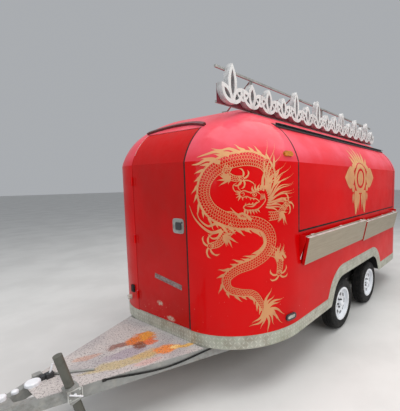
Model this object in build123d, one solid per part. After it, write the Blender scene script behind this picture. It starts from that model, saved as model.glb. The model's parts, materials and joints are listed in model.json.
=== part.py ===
from build123d import *
import os
from math import acos, atan2, cos, degrees, pi, radians, sin, sqrt, tan

# Street food trailer with a round-cornered body, a tandem axle and an A-frame drawbar.
# Working axes: +X towards the tow vehicle, +Y to the serving side, +Z up, ground at z = 0.
# While the pieces are made, x = 0 is the front wall and y = 0 the middle plane.

# Body shell
body_length = 4330
body_width = 2062
corner_radius = 656
wall = 40
floor_thickness = 30
body_bottom = 404
belt_height = 1897
lean_start = 15
lean_change = 57
shoulder_radius = 580
cap_overlap = 150
hatch_hinge_inset = 205

# Checker plate skirt and wheel arches
skirt_height = 109
skirt_thickness = 4
arch_height = 680
arch_front_gap = 460
arch_rear_gap = 364
arch_lean = 230
arch_corner_radius = 200
arch_band = 108
wheel_box_inner_gap = 40
wheel_box_sheet = 6

# Front door
door_width = 733
door_offset = -1
door_top = 2185
door_latch_gap = 18
door_gap = 6
door_hinge_radius = 9
door_travel = 105
latch_width = 140
latch_height = 125
latch_centre_height = 1378
latch_edge_margin = 20

# Serving hatch
hatch_length = 2984
hatch_bottom = 1313
hatch_gap = 10
hatch_hinge_rise = 9
hatch_travel = 78
rail_height = 34
rail_reach = 46
rail_sheet = 4
hatch_rail_length = 3060
door_rail_half = 400

# Fold-down shelves
shelf_length = 1455
shelf_depth = 250
shelf_thickness = 30
shelf_spacing = 30
shelf_lean = 12.2
shelf_hinge_height = 1256
shelf_hinge_reach = 60
shelf_rod_radius = 6
shelf_knuckle_radius = 11
shelf_knuckle_length = 60
shelf_travel = 102
bracket_thickness = 12
bracket_height = 205
bracket_rise = 14
second_shelf_drop = 25

# Wheels and axles
tyre_radius = 292.5
tyre_width = 175
rim_radius = 190.5
rim_width = 152
rim_bead_radius = 177
rim_well_radius = 150
rim_lip = 10
rim_clearance = 0.3
wheel_centre_y = 910
front_axle_x = -1730
axle_spacing = 926
stub_radius = 17.5
stub_clearance = 0.05
hub_radius = 62
axle_beam = 60
axle_arm_length = 130
axle_arm_thickness = 30
rim_slots = 8
tread_grooves = 3

# Chassis
rail_section_height = 80
rail_section_width = 50
chassis_rail_y = 725
cross_member_height = 60
cross_member_width = 50

# Drawbar, deck and coupling head
drawbar_half_spread = 520
drawbar_slope = 0.42
drawbar_nose_x = 1075
deck_end_x = 980
deck_thickness = 4
deck_edge_inset = 42
nose_plate_thickness = 8
nose_plate_length = 190
coupler_length = 330
coupler_width = 74
coupler_height = 70
ball_radius = 25
ball_clearance = 0.2
socket_depth = 34
socket_setback = 42
lever_length = 190

# Jack on the serving side of the drawbar
jack_x = 826
jack_clamp_height = 400
jack_lean = 13.4
jack_tube_radius = 26
jack_tube_wall = 5
jack_leg_radius = 20.5
jack_top_height = 680
jack_tube_bottom = 190
jack_leg_top = 420
jack_travel = 150
foot_length = 130
foot_width = 90
foot_thickness = 8
clamp_height = 110
clamp_width = 74
clamp_thickness = 10

# Rear corner steadies
steady_length = 285
steady_width = 40
steady_thickness = 34
steady_x = -4060
steady_pin_radius = 8
steady_travel = 78

# Roof sign
sign_y = 500
sign_front_x = -240
sign_rear_x = -4050
sign_top = 2700
sign_bottom = 2425
sign_bar = 20
sign_posts = 5
sign_stay_reach = 330
scroll_stroke = 46
scroll_depth = 60
backing_thickness = 5
backing_margin = 16

# Lamps, socket and plate
lamp_angle = 79.6
marker_height = 1957
marker_length = 104
marker_width = 44
low_lamp_height = 590
low_lamp_length = 120
low_lamp_width = 56
lamp_proud = 16
socket_angle = 7.3
socket_height = 711
front_lamp_angle = 14
front_lamp_height = 607
front_lamp_radius = 24
tail_lamp_height = 640
tail_lamp_width = 100
tail_lamp_length = 220
tail_lamp_y = 270
plate_rise = 320
plate_thickness = 3
seat_gap = 0.3
plate_length = 520
plate_height = 112

half_width = body_width / 2
side_spread = half_width - corner_radius
rear_x = -body_length
turn = radians(lean_change)

# The wall leans in at the belt along one arc, and a second arc runs on to the crown.
# Centres are (distance in from the wall, height).
shoulder_centre = (
    shoulder_radius * cos(radians(lean_start)),
    belt_height - shoulder_radius * sin(radians(lean_start)),
)
turn_inset = shoulder_centre[0] - shoulder_radius * cos(turn)
roof_radius = (half_width - turn_inset) / cos(turn)
roof_centre = (
    half_width,
    shoulder_centre[1] - (roof_radius - shoulder_radius) * sin(turn),
)


def roof_height(distance):
    """Height of the outer roof line at a distance in from the wall."""
    if distance <= turn_inset:
        reach = shoulder_centre[0] - distance
        return shoulder_centre[1] + sqrt(shoulder_radius**2 - reach**2)
    reach = roof_centre[0] - distance
    return roof_centre[1] + sqrt(roof_radius**2 - reach**2)


def roof_inset(height):
    """Distance in from the wall at which the shoulder reaches a height above the belt."""
    rise = height - shoulder_centre[1]
    return shoulder_centre[0] - sqrt(shoulder_radius**2 - rise**2)


def wall_line(inset, base, reach, place):
    """Wall, shoulder arc and roof arc from the base to a reach, laid out by place."""
    low_radius = shoulder_radius - inset
    high_radius = roof_radius - inset
    start = acos((shoulder_centre[0] - inset) / low_radius)
    stop = acos((roof_centre[0] - reach) / high_radius)

    def point(centre, radius, angle):
        return place(centre[0] - radius * cos(angle), centre[1] + radius * sin(angle))

    belt = point(shoulder_centre, low_radius, start)
    change = point(shoulder_centre, low_radius, turn)
    middle = point(shoulder_centre, low_radius, (start + turn) / 2)
    upper = point(roof_centre, high_radius, (turn + stop) / 2)
    top = point(roof_centre, high_radius, stop)
    return [
        Line(place(inset, base), belt),
        ThreePointArc(belt, middle, change),
        ThreePointArc(change, upper, top),
    ]


def block(x_range, y_range, z_range):
    """Box between two corners given as ranges."""
    sizes = [high - low for low, high in (x_range, y_range, z_range)]
    middle = [(high + low) / 2 for low, high in (x_range, y_range, z_range)]
    return Pos(*middle) * Box(*sizes)


def rod(start, end, radius):
    """Round bar from one point to another."""
    path = Vector(*end) - Vector(*start)
    plane = Plane(origin=Vector(*start), z_dir=path)
    return extrude(plane * Circle(radius), amount=path.length)


def bar(start, end, width, height):
    """Square-cornered bar from one point to another, its height kept upright."""
    path = Vector(*end) - Vector(*start)
    across = Vector(0, 0, 1).cross(path)
    if across.length < 1:
        across = Vector(0, 1, 0)
    plane = Plane(origin=Vector(*start), x_dir=across, z_dir=path)
    return extrude(plane * Rectangle(width, height), amount=path.length)


def side_plate(sketch, near, far):
    """Sketch drawn as X and Z, made solid between two y values."""
    return extrude(Plane.XZ.offset(-far) * sketch, amount=far - near)


def mirrored_y(solid):
    return mirror(solid, about=Plane.XZ)


def mirrored_x(solid):
    return mirror(solid, about=Plane.YZ.offset(rear_x / 2))


def body_form(inset, base):
    """Closed body volume: straight walls and four domed quarter-round corners."""
    left = wall_line(inset, base, half_width, lambda d, z: (0, half_width - d, z))
    right = wall_line(inset, base, half_width, lambda d, z: (0, d - half_width, z))
    floor_line = Line((0, half_width - inset, base), (0, inset - half_width, base))
    across = extrude(make_face(left + right + [floor_line]), amount=body_length, dir=(-1, 0, 0))

    start_y = -half_width
    front = wall_line(inset, base, half_width, lambda d, z: (-d, start_y, z))
    rear = wall_line(inset, base, half_width, lambda d, z: (rear_x + d, start_y, z))
    top = Line(front[-1] @ 1, rear[-1] @ 1)
    bottom = Line((-inset, start_y, base), (rear_x + inset, start_y, base))
    along = extrude(make_face(front + rear + [top, bottom]), amount=body_width, dir=(0, 1, 0))
    form = across & along

    axis_x = -corner_radius
    profile = wall_line(
        inset, base, corner_radius, lambda d, z: (axis_x + corner_radius - d, side_spread, z)
    )
    peak = profile[-1] @ 1
    closing = [
        Line(peak, (axis_x, side_spread, base)),
        Line((axis_x, side_spread, base), (-inset, side_spread, base)),
    ]
    corner = revolve(
        make_face(profile + closing), axis=Axis((axis_x, side_spread, 0), (0, 0, 1)), revolution_arc=90
    )
    tall = (0, roof_height(half_width) + wall)
    square = block((axis_x, wall), (side_spread, half_width + wall), tall)
    for flip in (False, True):
        for turn_round in (False, True):
            piece = mirrored_y(corner) if flip else corner
            cut = mirrored_y(square) if flip else square
            form = form - (mirrored_x(cut) if turn_round else cut)
            form = form + (mirrored_x(piece) if turn_round else piece)
    return form


def plan(grow):
    """Rounded rectangle of the body seen from above, grown outwards."""
    outline = RectangleRounded(
        body_length + 2 * grow, body_width + 2 * grow, corner_radius + grow
    )
    return Pos(rear_x / 2, 0) * outline


# Panels of the body
outer_form = body_form(0, body_bottom)
inner_form = body_form(wall, body_bottom)
shell = outer_form - inner_form
crown_height = roof_height(half_width)
cap_x = -(corner_radius + cap_overlap)
side_cut = half_width - hatch_hinge_inset

door_latch_y = door_offset + door_width / 2
door_hinge_y = door_offset - door_width / 2
skirt_top = body_bottom + skirt_height
door_bottom = skirt_top + door_gap
door_depth = (roof_inset(door_top) + 2 * wall)

hatch_front_x = rear_x / 2 + hatch_length / 2
hatch_rear_x = rear_x / 2 - hatch_length / 2
outside = half_width + 2 * wall
above = crown_height + wall

door_space = block((-door_depth, wall), (door_hinge_y, door_latch_y), (door_bottom, door_top))
doorway = block(
    (-door_depth, wall),
    (door_hinge_y - door_gap, door_latch_y + door_latch_gap),
    (door_bottom - door_gap, door_top + door_gap),
)
hatch_space = block((hatch_rear_x, hatch_front_x), (side_cut, outside), (hatch_bottom, above))
hatchway = block(
    (hatch_rear_x - hatch_gap, hatch_front_x + hatch_gap),
    (side_cut - hatch_gap, outside),
    (hatch_bottom - hatch_gap, above),
)

# Wheel arch outline, one long opening over both wheels
rear_axle_x = front_axle_x - axle_spacing
arch_front_x = front_axle_x + arch_front_gap
arch_rear_x = rear_axle_x - arch_rear_gap


def arch_outline(grow):
    """Arch as X and Z: leaning ends and rounded top corners."""
    corners = [
        (arch_front_x, 0),
        (arch_front_x, body_bottom),
        (arch_front_x - arch_lean, arch_height),
        (arch_rear_x + arch_lean, arch_height),
        (arch_rear_x, body_bottom),
        (arch_rear_x, 0),
    ]
    outline = make_face(Polyline(corners, close=True))
    rounded = [v for v in outline.vertices() if v.Y > body_bottom]
    outline = fillet(rounded, arch_corner_radius)
    return offset(outline, amount=grow) if grow else outline


arch_inner_y = wheel_centre_y - tyre_width / 2 - wheel_box_inner_gap
arch_cut = side_plate(arch_outline(0), half_width - 2 * wall, outside)
arch_cuts = arch_cut + mirrored_y(arch_cut)

front_zone = block((cap_x, wall), (-outside, outside), (0, above))
middle_zone = block((rear_x - cap_x, cap_x), (-outside, outside), (0, above))
side_zone = block((rear_x - cap_x, cap_x), (side_cut, outside), (0, above))
roof_zone = block((rear_x - cap_x, cap_x), (-side_cut, side_cut), (belt_height, above))

front_cap = (shell & front_zone) - doorway - hatchway
rear_cap = (shell & mirrored_x(front_zone)) - hatchway
left_wall = (shell & side_zone) - hatchway - arch_cuts
right_wall = (shell & mirrored_y(side_zone)) - arch_cuts
roof_panel = (shell & roof_zone) - hatchway
door = shell & door_space
hatch = shell & hatch_space


def wheel_box():
    """Open-bottomed box that closes the cabin off from the wheels."""
    near = arch_inner_y - wheel_box_sheet
    far = half_width - wall
    outer = side_plate(arch_outline(wheel_box_sheet), near, far)
    inner = side_plate(arch_outline(0), arch_inner_y, far)
    return (outer - inner) & block((rear_x, 0), (0, far), (body_bottom, above))


wheel_box_left = wheel_box()
wheel_box_right = mirrored_y(wheel_box_left)
wheel_space = side_plate(arch_outline(wheel_box_sheet), arch_inner_y - wheel_box_sheet, half_width)
wheel_spaces = wheel_space + mirrored_y(wheel_space)
floor_slab = extrude(Pos(0, 0, body_bottom) * plan(-wall), amount=floor_thickness)
floor_panel = floor_slab - wheel_spaces


def skirt():
    """Plate band round the foot of the body, carried over the wheel arches."""
    ring = extrude(Pos(0, 0, body_bottom) * (plan(skirt_thickness) - plan(0)), amount=skirt_height)
    wide = side_plate(arch_outline(arch_band), half_width, half_width + skirt_thickness)
    band = wide & block((rear_x, 0), (0, outside), (body_bottom, above))
    band = band + mirrored_y(band)
    return ring + band - arch_cuts


skirt_band = skirt()

# Chassis rails and cross members under the floor
rail_bottom = body_bottom - rail_section_height
rail_z = (rail_bottom, body_bottom)
chassis_front_x = -corner_radius / 2
chassis_rear_x = rear_x + corner_radius / 4
chassis_rail_left = block(
    (chassis_rear_x, chassis_front_x),
    (chassis_rail_y - rail_section_width / 2, chassis_rail_y + rail_section_width / 2),
    rail_z,
)
chassis_rail_right = mirrored_y(chassis_rail_left)
cross_reach = chassis_rail_y - rail_section_width / 2
cross_places = [
    chassis_rear_x + cross_member_width / 2,
    rear_axle_x - tyre_radius,
    (front_axle_x + rear_axle_x) / 2,
    front_axle_x + tyre_radius + axle_arm_length,
    chassis_front_x - cross_member_width / 2,
]
cross_members = Compound(
    children=[
        block(
            (x - cross_member_width / 2, x + cross_member_width / 2),
            (-cross_reach, cross_reach),
            (body_bottom - cross_member_height, body_bottom),
        )
        for x in cross_places
    ]
)


def drawbar_y(x):
    """Outer edge of the drawbar at a place along it."""
    return drawbar_half_spread + rail_section_width / 2 - drawbar_slope * x


def drawbar_rail():
    """Box-section rail from the chassis rail to the nose, mitred at the middle plane."""
    angle = atan2(drawbar_slope, 1)
    width = rail_section_width / cos(angle)
    tail_x = chassis_front_x
    corners = [
        (tail_x, drawbar_y(tail_x)),
        (tail_x, drawbar_y(tail_x) - width),
        (drawbar_nose_x, max(drawbar_y(drawbar_nose_x) - width, 0)),
        (drawbar_nose_x, drawbar_y(drawbar_nose_x)),
    ]
    face = make_face(Polyline(corners, close=True))
    return extrude(Pos(0, 0, rail_bottom) * face, amount=rail_section_height)


drawbar_rail_left = drawbar_rail()
drawbar_rail_right = mirrored_y(drawbar_rail_left)


def deck():
    """Tread plate on the drawbar, from the skirt to a square front edge."""
    start = skirt_thickness
    near = drawbar_y(start) - deck_edge_inset
    far = drawbar_y(deck_end_x) - deck_edge_inset
    corners = [(start, near), (start, -near), (deck_end_x, -far), (deck_end_x, far)]
    face = make_face(Polyline(corners, close=True))
    return extrude(Pos(0, 0, body_bottom) * face, amount=deck_thickness)


deck_plate = deck()


def nose():
    """Plates over and under the nose, with the beam between the rails."""
    half = drawbar_y(drawbar_nose_x)
    length = nose_plate_length
    tip_half = coupler_width / 2
    corners = [
        (drawbar_nose_x, half),
        (drawbar_nose_x, -half),
        (drawbar_nose_x + length, -tip_half),
        (drawbar_nose_x + length, tip_half),
    ]
    face = make_face(Polyline(corners, close=True))
    return extrude(Pos(0, 0, rail_bottom) * face, amount=rail_section_height + nose_plate_thickness)


nose_box = nose()

coupler_back_x = drawbar_nose_x + nose_plate_length * 0.35
coupler_bottom = body_bottom + nose_plate_thickness
socket_x = coupler_back_x + coupler_length - socket_setback
coupler_front_x = socket_x + coupler_width / 2


def coupler_head():
    """Ball coupling: a channel body that widens to a round head over the ball."""
    neck = block(
        (coupler_back_x, socket_x),
        (-coupler_width * 0.4, coupler_width * 0.4),
        (coupler_bottom, coupler_bottom + coupler_height * 0.7),
    )
    head = Pos(socket_x, 0, coupler_bottom) * extrude(Circle(coupler_width / 2), amount=coupler_height)
    head = fillet(head.edges().group_by(Axis.Z)[-1], coupler_width * 0.3)
    body = neck + head
    bore = Pos(socket_x, 0, coupler_bottom) * extrude(
        Circle(ball_radius + ball_clearance), amount=socket_depth
    )
    return body - bore


coupler = coupler_head()
lever_z = coupler_bottom + coupler_height * 0.7
lever_start = (socket_x - coupler_width * 0.6, 0, lever_z + 9)
coupler_lever = bar(
    (socket_x - coupler_width * 0.6, 0, lever_z + 9),
    (socket_x - coupler_width * 0.6 - lever_length, 0, lever_z + 9),
    26,
    18,
)

# Jack: clamp and outer tube on the drawbar, leaning back, and the sliding leg with its foot
lean = radians(jack_lean)
jack_up = Vector(sin(lean), 0, cos(lean))
jack_face_y = drawbar_y(jack_x)
jack_y = jack_face_y + clamp_thickness + jack_tube_radius


def jack_point(height):
    """Point on the jack's axis at a height."""
    along = (height - jack_clamp_height) / cos(lean)
    return Vector(jack_x, jack_y, jack_clamp_height) + jack_up * along


def jack_clamp_piece():
    """Plate against the rail and the block that grips the outer tube."""
    axis_plane = Plane(origin=jack_point(jack_clamp_height), x_dir=(0, 1, 0), z_dir=jack_up)
    collar = Rectangle(2 * jack_tube_radius + 2 * clamp_thickness, clamp_width)
    grip = extrude(axis_plane * collar, amount=clamp_height / 2, both=True)
    tube = extrude(axis_plane * Circle(jack_tube_radius), amount=clamp_height, both=True)
    slope = atan2(-drawbar_slope, 1)
    far_side = Plane(
        origin=(jack_x, jack_face_y, jack_clamp_height), x_dir=(cos(slope), sin(slope), 0), z_dir=(sin(-slope), cos(slope), 0)
    )
    keep = extrude(far_side * Rectangle(4 * clamp_width, 4 * clamp_height), amount=4 * clamp_width)
    return (grip & keep) - tube


jack_clamp = jack_clamp_piece()
jack_low = jack_point(jack_tube_bottom)
jack_high = jack_point(jack_top_height)
jack_tube = rod(tuple(jack_low), tuple(jack_high), jack_tube_radius) - rod(
    tuple(jack_low), tuple(jack_high - jack_up * jack_tube_wall), jack_tube_radius - jack_tube_wall
)
foot_centre = jack_point(foot_thickness / 2)


def jack_leg_piece():
    """Sliding leg with a flat foot on the ground."""
    leg = rod(tuple(jack_point(foot_thickness / 2)), tuple(jack_point(jack_leg_top)), jack_leg_radius)
    foot = block(
        (foot_centre.X - foot_length / 2, foot_centre.X + foot_length / 2),
        (foot_centre.Y - foot_width / 2, foot_centre.Y + foot_width / 2),
        (0, foot_thickness),
    )
    ground = block(
        (foot_centre.X - foot_length, foot_centre.X + foot_length),
        (foot_centre.Y - foot_width, foot_centre.Y + foot_width),
        (-jack_top_height, 0),
    )
    return leg + foot - ground


jack_leg = jack_leg_piece()

# Axles: a square beam under the rails, trailing arms and stub axles
axle_z = tyre_radius
beam_z = rail_bottom - axle_beam / 2
arm_inner_y = chassis_rail_y + rail_section_width / 2
arm_outer_y = arm_inner_y + axle_arm_thickness
stub_end_y = wheel_centre_y + rim_width / 4


def axle(x):
    """Torsion axle for the wheel pair at x."""
    beam_x = x + axle_arm_length
    half_beam = axle_beam / 2
    beam = block(
        (beam_x - half_beam, beam_x + half_beam),
        (-arm_inner_y, arm_inner_y),
        (beam_z - half_beam, beam_z + half_beam),
    )
    arm_sketch = make_hull(
        [
            (Pos(beam_x, beam_z) * Circle(half_beam)).edge(),
            (Pos(x, axle_z) * Circle(hub_radius / 2)).edge(),
        ]
    )
    arm = side_plate(arm_sketch, arm_inner_y, arm_outer_y)
    stub = rod((x, arm_outer_y, axle_z), (x, stub_end_y, axle_z), stub_radius)
    side = arm + stub
    return beam + side + mirrored_y(side)


axle_front = axle(front_axle_x)
axle_rear = axle(rear_axle_x)


def wheel_revolve(profile):
    """Turn a closed outline of (outboard distance, radius) about the wheel's axis."""
    face = make_face(Polyline([(s, r) for s, r in profile], close=True))
    return revolve(face, axis=Axis.X, revolution_arc=360)


def rim_piece():
    """Pressed steel wheel: flanges, well, dished disc with slots, hub and drum."""
    half = rim_width / 2
    lip = rim_lip
    barrel = wheel_revolve(
        [
            (-half, rim_radius),
            (-half + lip, rim_radius),
            (-half + lip, rim_bead_radius),
            (-half / 3, rim_bead_radius - 4),
            (-half / 5, rim_well_radius),
            (half / 4, rim_well_radius),
            (half / 2, rim_bead_radius - 4),
            (half - lip, rim_bead_radius),
            (half - lip, rim_radius),
            (half, rim_radius),
            (half, rim_bead_radius - 8),
            (half / 2 - 4, rim_bead_radius - 12),
            (half / 4 + 2, rim_well_radius - 8),
            (-half / 5 - 2, rim_well_radius - 8),
            (-half / 3 - 2, rim_bead_radius - 12),
            (-half, rim_bead_radius - 8),
        ]
    )
    disc_face = half * 0.28
    disc = wheel_revolve(
        [
            (disc_face, stub_radius + stub_clearance),
            (disc_face + 8, stub_radius + stub_clearance),
            (disc_face + 8, hub_radius),
            (disc_face + 26, rim_well_radius * 0.62),
            (disc_face + 22, rim_well_radius * 0.85),
            (half / 4 + 4, rim_well_radius - 6),
            (half / 4 - 6, rim_well_radius - 6),
            (disc_face + 12, rim_well_radius * 0.83),
            (disc_face + 16, rim_well_radius * 0.64),
            (disc_face, hub_radius + 6),
        ]
    )
    slot = Pos(disc_face, 0, rim_well_radius * 0.74) * Rot(0, 90, 0) * extrude(
        SlotOverall(44, 26, rotation=90), amount=60, both=True
    )
    for index in range(rim_slots):
        disc = disc - Rot(360 / rim_slots * index, 0, 0) * slot
    hub_back = arm_outer_y + 8 - wheel_centre_y
    hub = wheel_revolve(
        [
            (hub_back, stub_radius + stub_clearance),
            (disc_face, stub_radius + stub_clearance),
            (disc_face, hub_radius),
            (-half / 5, hub_radius),
            (-half / 5, rim_well_radius - 30),
            (hub_back, rim_well_radius - 30),
        ]
    )
    cap = wheel_revolve(
        [
            (disc_face + 8, stub_radius + stub_clearance),
            (disc_face + 44, stub_radius + stub_clearance),
            (disc_face + 44, 0),
            (disc_face + 52, 0),
            (disc_face + 52, 22),
            (disc_face + 46, 30),
            (disc_face + 8, 32),
        ]
    )
    return barrel + disc + hub + cap


def tyre_piece():
    """Road tyre: bead, rounded sidewalls and a grooved crown."""
    half = tyre_width / 2
    bead = rim_width / 2 - rim_lip - rim_clearance
    tread = half * 0.8
    shoulder = tyre_radius - 12
    seat = rim_bead_radius + rim_clearance
    heel = rim_radius + 3
    side = rim_radius + (tyre_radius - rim_radius) * 0.42
    outline = [
        Line((-bead, seat), (bead, seat)),
        Line((bead, seat), (bead, heel)),
        ThreePointArc((bead, heel), (half, side), (tread, shoulder)),
        ThreePointArc((tread, shoulder), (tread - 5, tyre_radius - 5), (tread - 14, tyre_radius - 1)),
        ThreePointArc((tread - 14, tyre_radius - 1), (0, tyre_radius), (14 - tread, tyre_radius - 1)),
        ThreePointArc((14 - tread, tyre_radius - 1), (5 - tread, tyre_radius - 5), (-tread, shoulder)),
        ThreePointArc((-tread, shoulder), (-half, side), (-bead, heel)),
        Line((-bead, heel), (-bead, seat)),
    ]
    ring = revolve(make_face(outline), axis=Axis.X, revolution_arc=360)
    pitch = 2 * (tread - 14) / (tread_grooves + 1)
    for index in range(tread_grooves):
        s = (index - (tread_grooves - 1) / 2) * pitch
        ring = ring - wheel_revolve(
            [(s - 4, tyre_radius - 7), (s + 4, tyre_radius - 7), (s + 5, tyre_radius + 2), (s - 5, tyre_radius + 2)]
        )
    return ring


rim = rim_piece()
tyre = tyre_piece()
wheel_places = {
    "front_left": (front_axle_x, 1),
    "front_right": (front_axle_x, -1),
    "rear_left": (rear_axle_x, 1),
    "rear_right": (rear_axle_x, -1),
}


def place_wheel(piece, x, side):
    """Stand a wheel piece, made along X, on its stub axle."""
    return Pos(x, side * wheel_centre_y, axle_z) * Rot(0, 0, 90 * side) * piece


# Rails that throw rain off the door and the hatch, the hatch's with its hinge barrel


def roof_slope(distance):
    """Angle of the roof's slope at a distance in from the wall, from the horizontal."""
    return pi / 2 - acos((shoulder_centre[0] - distance) / shoulder_radius)


hinge_slope = roof_slope(hatch_hinge_inset)
hinge_y = side_cut + hatch_hinge_rise * sin(hinge_slope)
hinge_z = roof_height(hatch_hinge_inset) + hatch_hinge_rise * cos(hinge_slope)
barrel_radius = hatch_hinge_rise - seat_gap


def hatch_rail_piece():
    """Hinge barrel, leaf on the roof and an upstand with a lip over the barrel."""
    start_x = rear_x / 2 - hatch_rail_length / 2
    plane = Plane(origin=(start_x, 0, 0), x_dir=(0, 1, 0), z_dir=(1, 0, 0))
    upstand_y = hinge_y - barrel_radius - 8
    leaf_y = upstand_y - rail_reach
    leaf_z = roof_height(half_width - leaf_y)
    lip_z = hinge_z + rail_height
    outline = Polyline(
        [
            (hinge_y, hinge_z + barrel_radius * 0.6),
            (upstand_y + rail_sheet, hinge_z + barrel_radius * 1.2),
            (upstand_y + rail_sheet, lip_z - rail_sheet),
            (upstand_y + rail_reach * 0.7, lip_z - rail_height * 0.35),
            (upstand_y + rail_reach * 0.7, lip_z - rail_height * 0.2),
            (upstand_y, lip_z),
            (upstand_y, hinge_z + barrel_radius * 1.4),
            (leaf_y, leaf_z + rail_sheet),
            (leaf_y, leaf_z - rail_sheet),
            (hinge_y - barrel_radius, hinge_z - barrel_radius),
        ],
        close=True,
    )
    section = make_face(outline) + Pos(hinge_y, hinge_z) * Circle(barrel_radius)
    return extrude(plane * section, amount=hatch_rail_length) - outer_form


hatch_rail = hatch_rail_piece()
door_rail_z = door_top + door_gap + 2
door_rail_x = -roof_inset(door_rail_z)


def door_rail_piece():
    """Hooded rail across the top of the door."""
    plane = Plane(origin=(0, door_rail_half, 0), x_dir=(1, 0, 0), z_dir=(0, -1, 0))
    back_x = door_rail_x - rail_reach
    lip_x = door_rail_x + rail_reach
    top_z = roof_height(-back_x)
    outline = Polyline(
        [
            (back_x, top_z + rail_sheet),
            (door_rail_x + rail_reach * 0.35, door_rail_z + rail_height),
            (lip_x, door_rail_z + rail_height * 0.55),
            (lip_x, door_rail_z),
            (lip_x - rail_sheet, door_rail_z),
            (lip_x - rail_sheet, door_rail_z + rail_height * 0.35),
            (door_rail_x + rail_sheet, door_rail_z + rail_height * 0.45),
            (door_rail_x + rail_sheet, door_rail_z),
            (door_rail_x - rail_sheet, door_rail_z),
            (back_x, top_z - 2 * rail_sheet),
        ],
        close=True,
    )
    return extrude(plane * make_face(outline), amount=2 * door_rail_half) - outer_form


door_rail = door_rail_piece()

# Door furniture
door_latch = block(
    (0.3, 6),
    (door_latch_y - latch_edge_margin - latch_width, door_latch_y - latch_edge_margin),
    (latch_centre_height - latch_height / 2, latch_centre_height + latch_height / 2),
)
door_hinge_x = door_hinge_radius
door_hinge_axis_y = door_hinge_y - door_gap / 2
door_hinge_heights = [door_bottom + 150, (door_bottom + belt_height) / 2, belt_height - 150]
door_hinges = Compound(
    children=[
        rod((door_hinge_x, door_hinge_axis_y, z - 40), (door_hinge_x, door_hinge_axis_y, z + 40), door_hinge_radius - 0.5)
        for z in door_hinge_heights
    ]
)

# Shelves: each hangs folded from a rod held by brackets on the wall
shelf_y = half_width + shelf_hinge_reach
shelf_first_x = rear_x / 2 + shelf_spacing / 2 + shelf_length
shelf_table = {
    "shelf_front": (shelf_first_x, 0),
    "shelf_rear": (shelf_first_x - shelf_length - shelf_spacing, second_shelf_drop),
}


def shelf(front_x, drop):
    """Folded board: inner face in line with the hinge rod, leaning back to the wall."""
    axis_z = shelf_hinge_height - drop
    board = block(
        (front_x - shelf_length, front_x),
        (shelf_knuckle_radius, shelf_knuckle_radius + shelf_thickness),
        (-shelf_depth, 0),
    )
    knuckles = [
        rod(
            (front_x - share * shelf_length - shelf_knuckle_length / 2, 0, 0),
            (front_x - share * shelf_length + shelf_knuckle_length / 2, 0, 0),
            shelf_knuckle_radius,
        )
        + block(
            (
                front_x - share * shelf_length - shelf_knuckle_length / 2,
                front_x - share * shelf_length + shelf_knuckle_length / 2,
            ),
            (0, shelf_knuckle_radius + 1),
            (-shelf_knuckle_radius, 0),
        )
        for share in (0.08, 0.5, 0.92)
    ]
    solid = board
    for knuckle in knuckles:
        solid = solid + knuckle
    hole = rod((front_x - 2 * shelf_length, 0, 0), (front_x + shelf_length, 0, 0), shelf_rod_radius + 0.1)
    solid = solid - hole
    return Pos(0, shelf_y - shelf_knuckle_radius, axis_z) * Rot(-shelf_lean, 0, 0) * solid


shelves = {name: shelf(*row) for name, row in shelf_table.items()}
rod_y = shelf_y - shelf_knuckle_radius
rod_overlap = shelf_spacing / 2 - bracket_thickness / 2
shelf_rods = Compound(
    children=[
        rod(
            (front_x - shelf_length - rod_overlap, rod_y, shelf_hinge_height - drop),
            (front_x + rod_overlap, rod_y, shelf_hinge_height - drop),
            shelf_rod_radius,
        )
        for front_x, drop in shelf_table.values()
    ]
)


def bracket(x):
    """Wedge-shaped cheek on the wall that carries the ends of the rods."""
    top = shelf_hinge_height + bracket_rise
    corners = [
        (half_width, top - bracket_height),
        (half_width, top),
        (rod_y + shelf_rod_radius + 4, top),
        (rod_y + shelf_rod_radius + 4, shelf_hinge_height - second_shelf_drop - bracket_rise),
    ]
    face = make_face(Polyline(corners, close=True))
    plane = Plane(origin=(x - bracket_thickness / 2, 0, 0), x_dir=(0, 1, 0), z_dir=(1, 0, 0))
    return extrude(plane * face, amount=bracket_thickness)


bracket_places = [
    shelf_first_x + shelf_spacing / 2,
    rear_x / 2,
    shelf_first_x - 2 * shelf_length - 1.5 * shelf_spacing,
]
shelf_brackets = Compound(children=[bracket(x) for x in bracket_places])

# Rear corner steadies, folded forward under the chassis rails
steady_z = rail_bottom - steady_thickness / 2 - 8


def steady_mount_piece():
    """Pair of ears under the rail with the pin between them."""
    ears = [
        block(
            (steady_x - 22, steady_x + 22),
            (chassis_rail_y + side * (steady_width / 2 + 2) - (6 if side < 0 else 0), chassis_rail_y + side * (steady_width / 2 + 2) + (6 if side > 0 else 0)),
            (steady_z - 16, rail_bottom),
        )
        for side in (-1, 1)
    ]
    pin = rod(
        (steady_x, chassis_rail_y - steady_width / 2 - 2, steady_z),
        (steady_x, chassis_rail_y + steady_width / 2 + 2, steady_z),
        steady_pin_radius,
    )
    return ears[0] + ears[1] + pin


def steady_piece():
    """Folding leg with a rounded pivot end and a flat foot."""
    leg = block(
        (steady_x, steady_x + steady_length - 8),
        (chassis_rail_y - steady_width / 2, chassis_rail_y + steady_width / 2),
        (steady_z - steady_thickness / 2, steady_z + steady_thickness / 2),
    )
    knuckle = rod(
        (steady_x, chassis_rail_y - steady_width / 2, steady_z),
        (steady_x, chassis_rail_y + steady_width / 2, steady_z),
        steady_thickness / 2,
    )
    pad = block(
        (steady_x + steady_length - 8, steady_x + steady_length),
        (chassis_rail_y - steady_width, chassis_rail_y + steady_width),
        (steady_z - steady_thickness / 2 - 6, steady_z + steady_thickness / 2 + 6),
    )
    hole = rod(
        (steady_x, chassis_rail_y - steady_width, steady_z),
        (steady_x, chassis_rail_y + steady_width, steady_z),
        steady_pin_radius + 0.1,
    )
    return leg + knuckle + pad - hole


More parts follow.
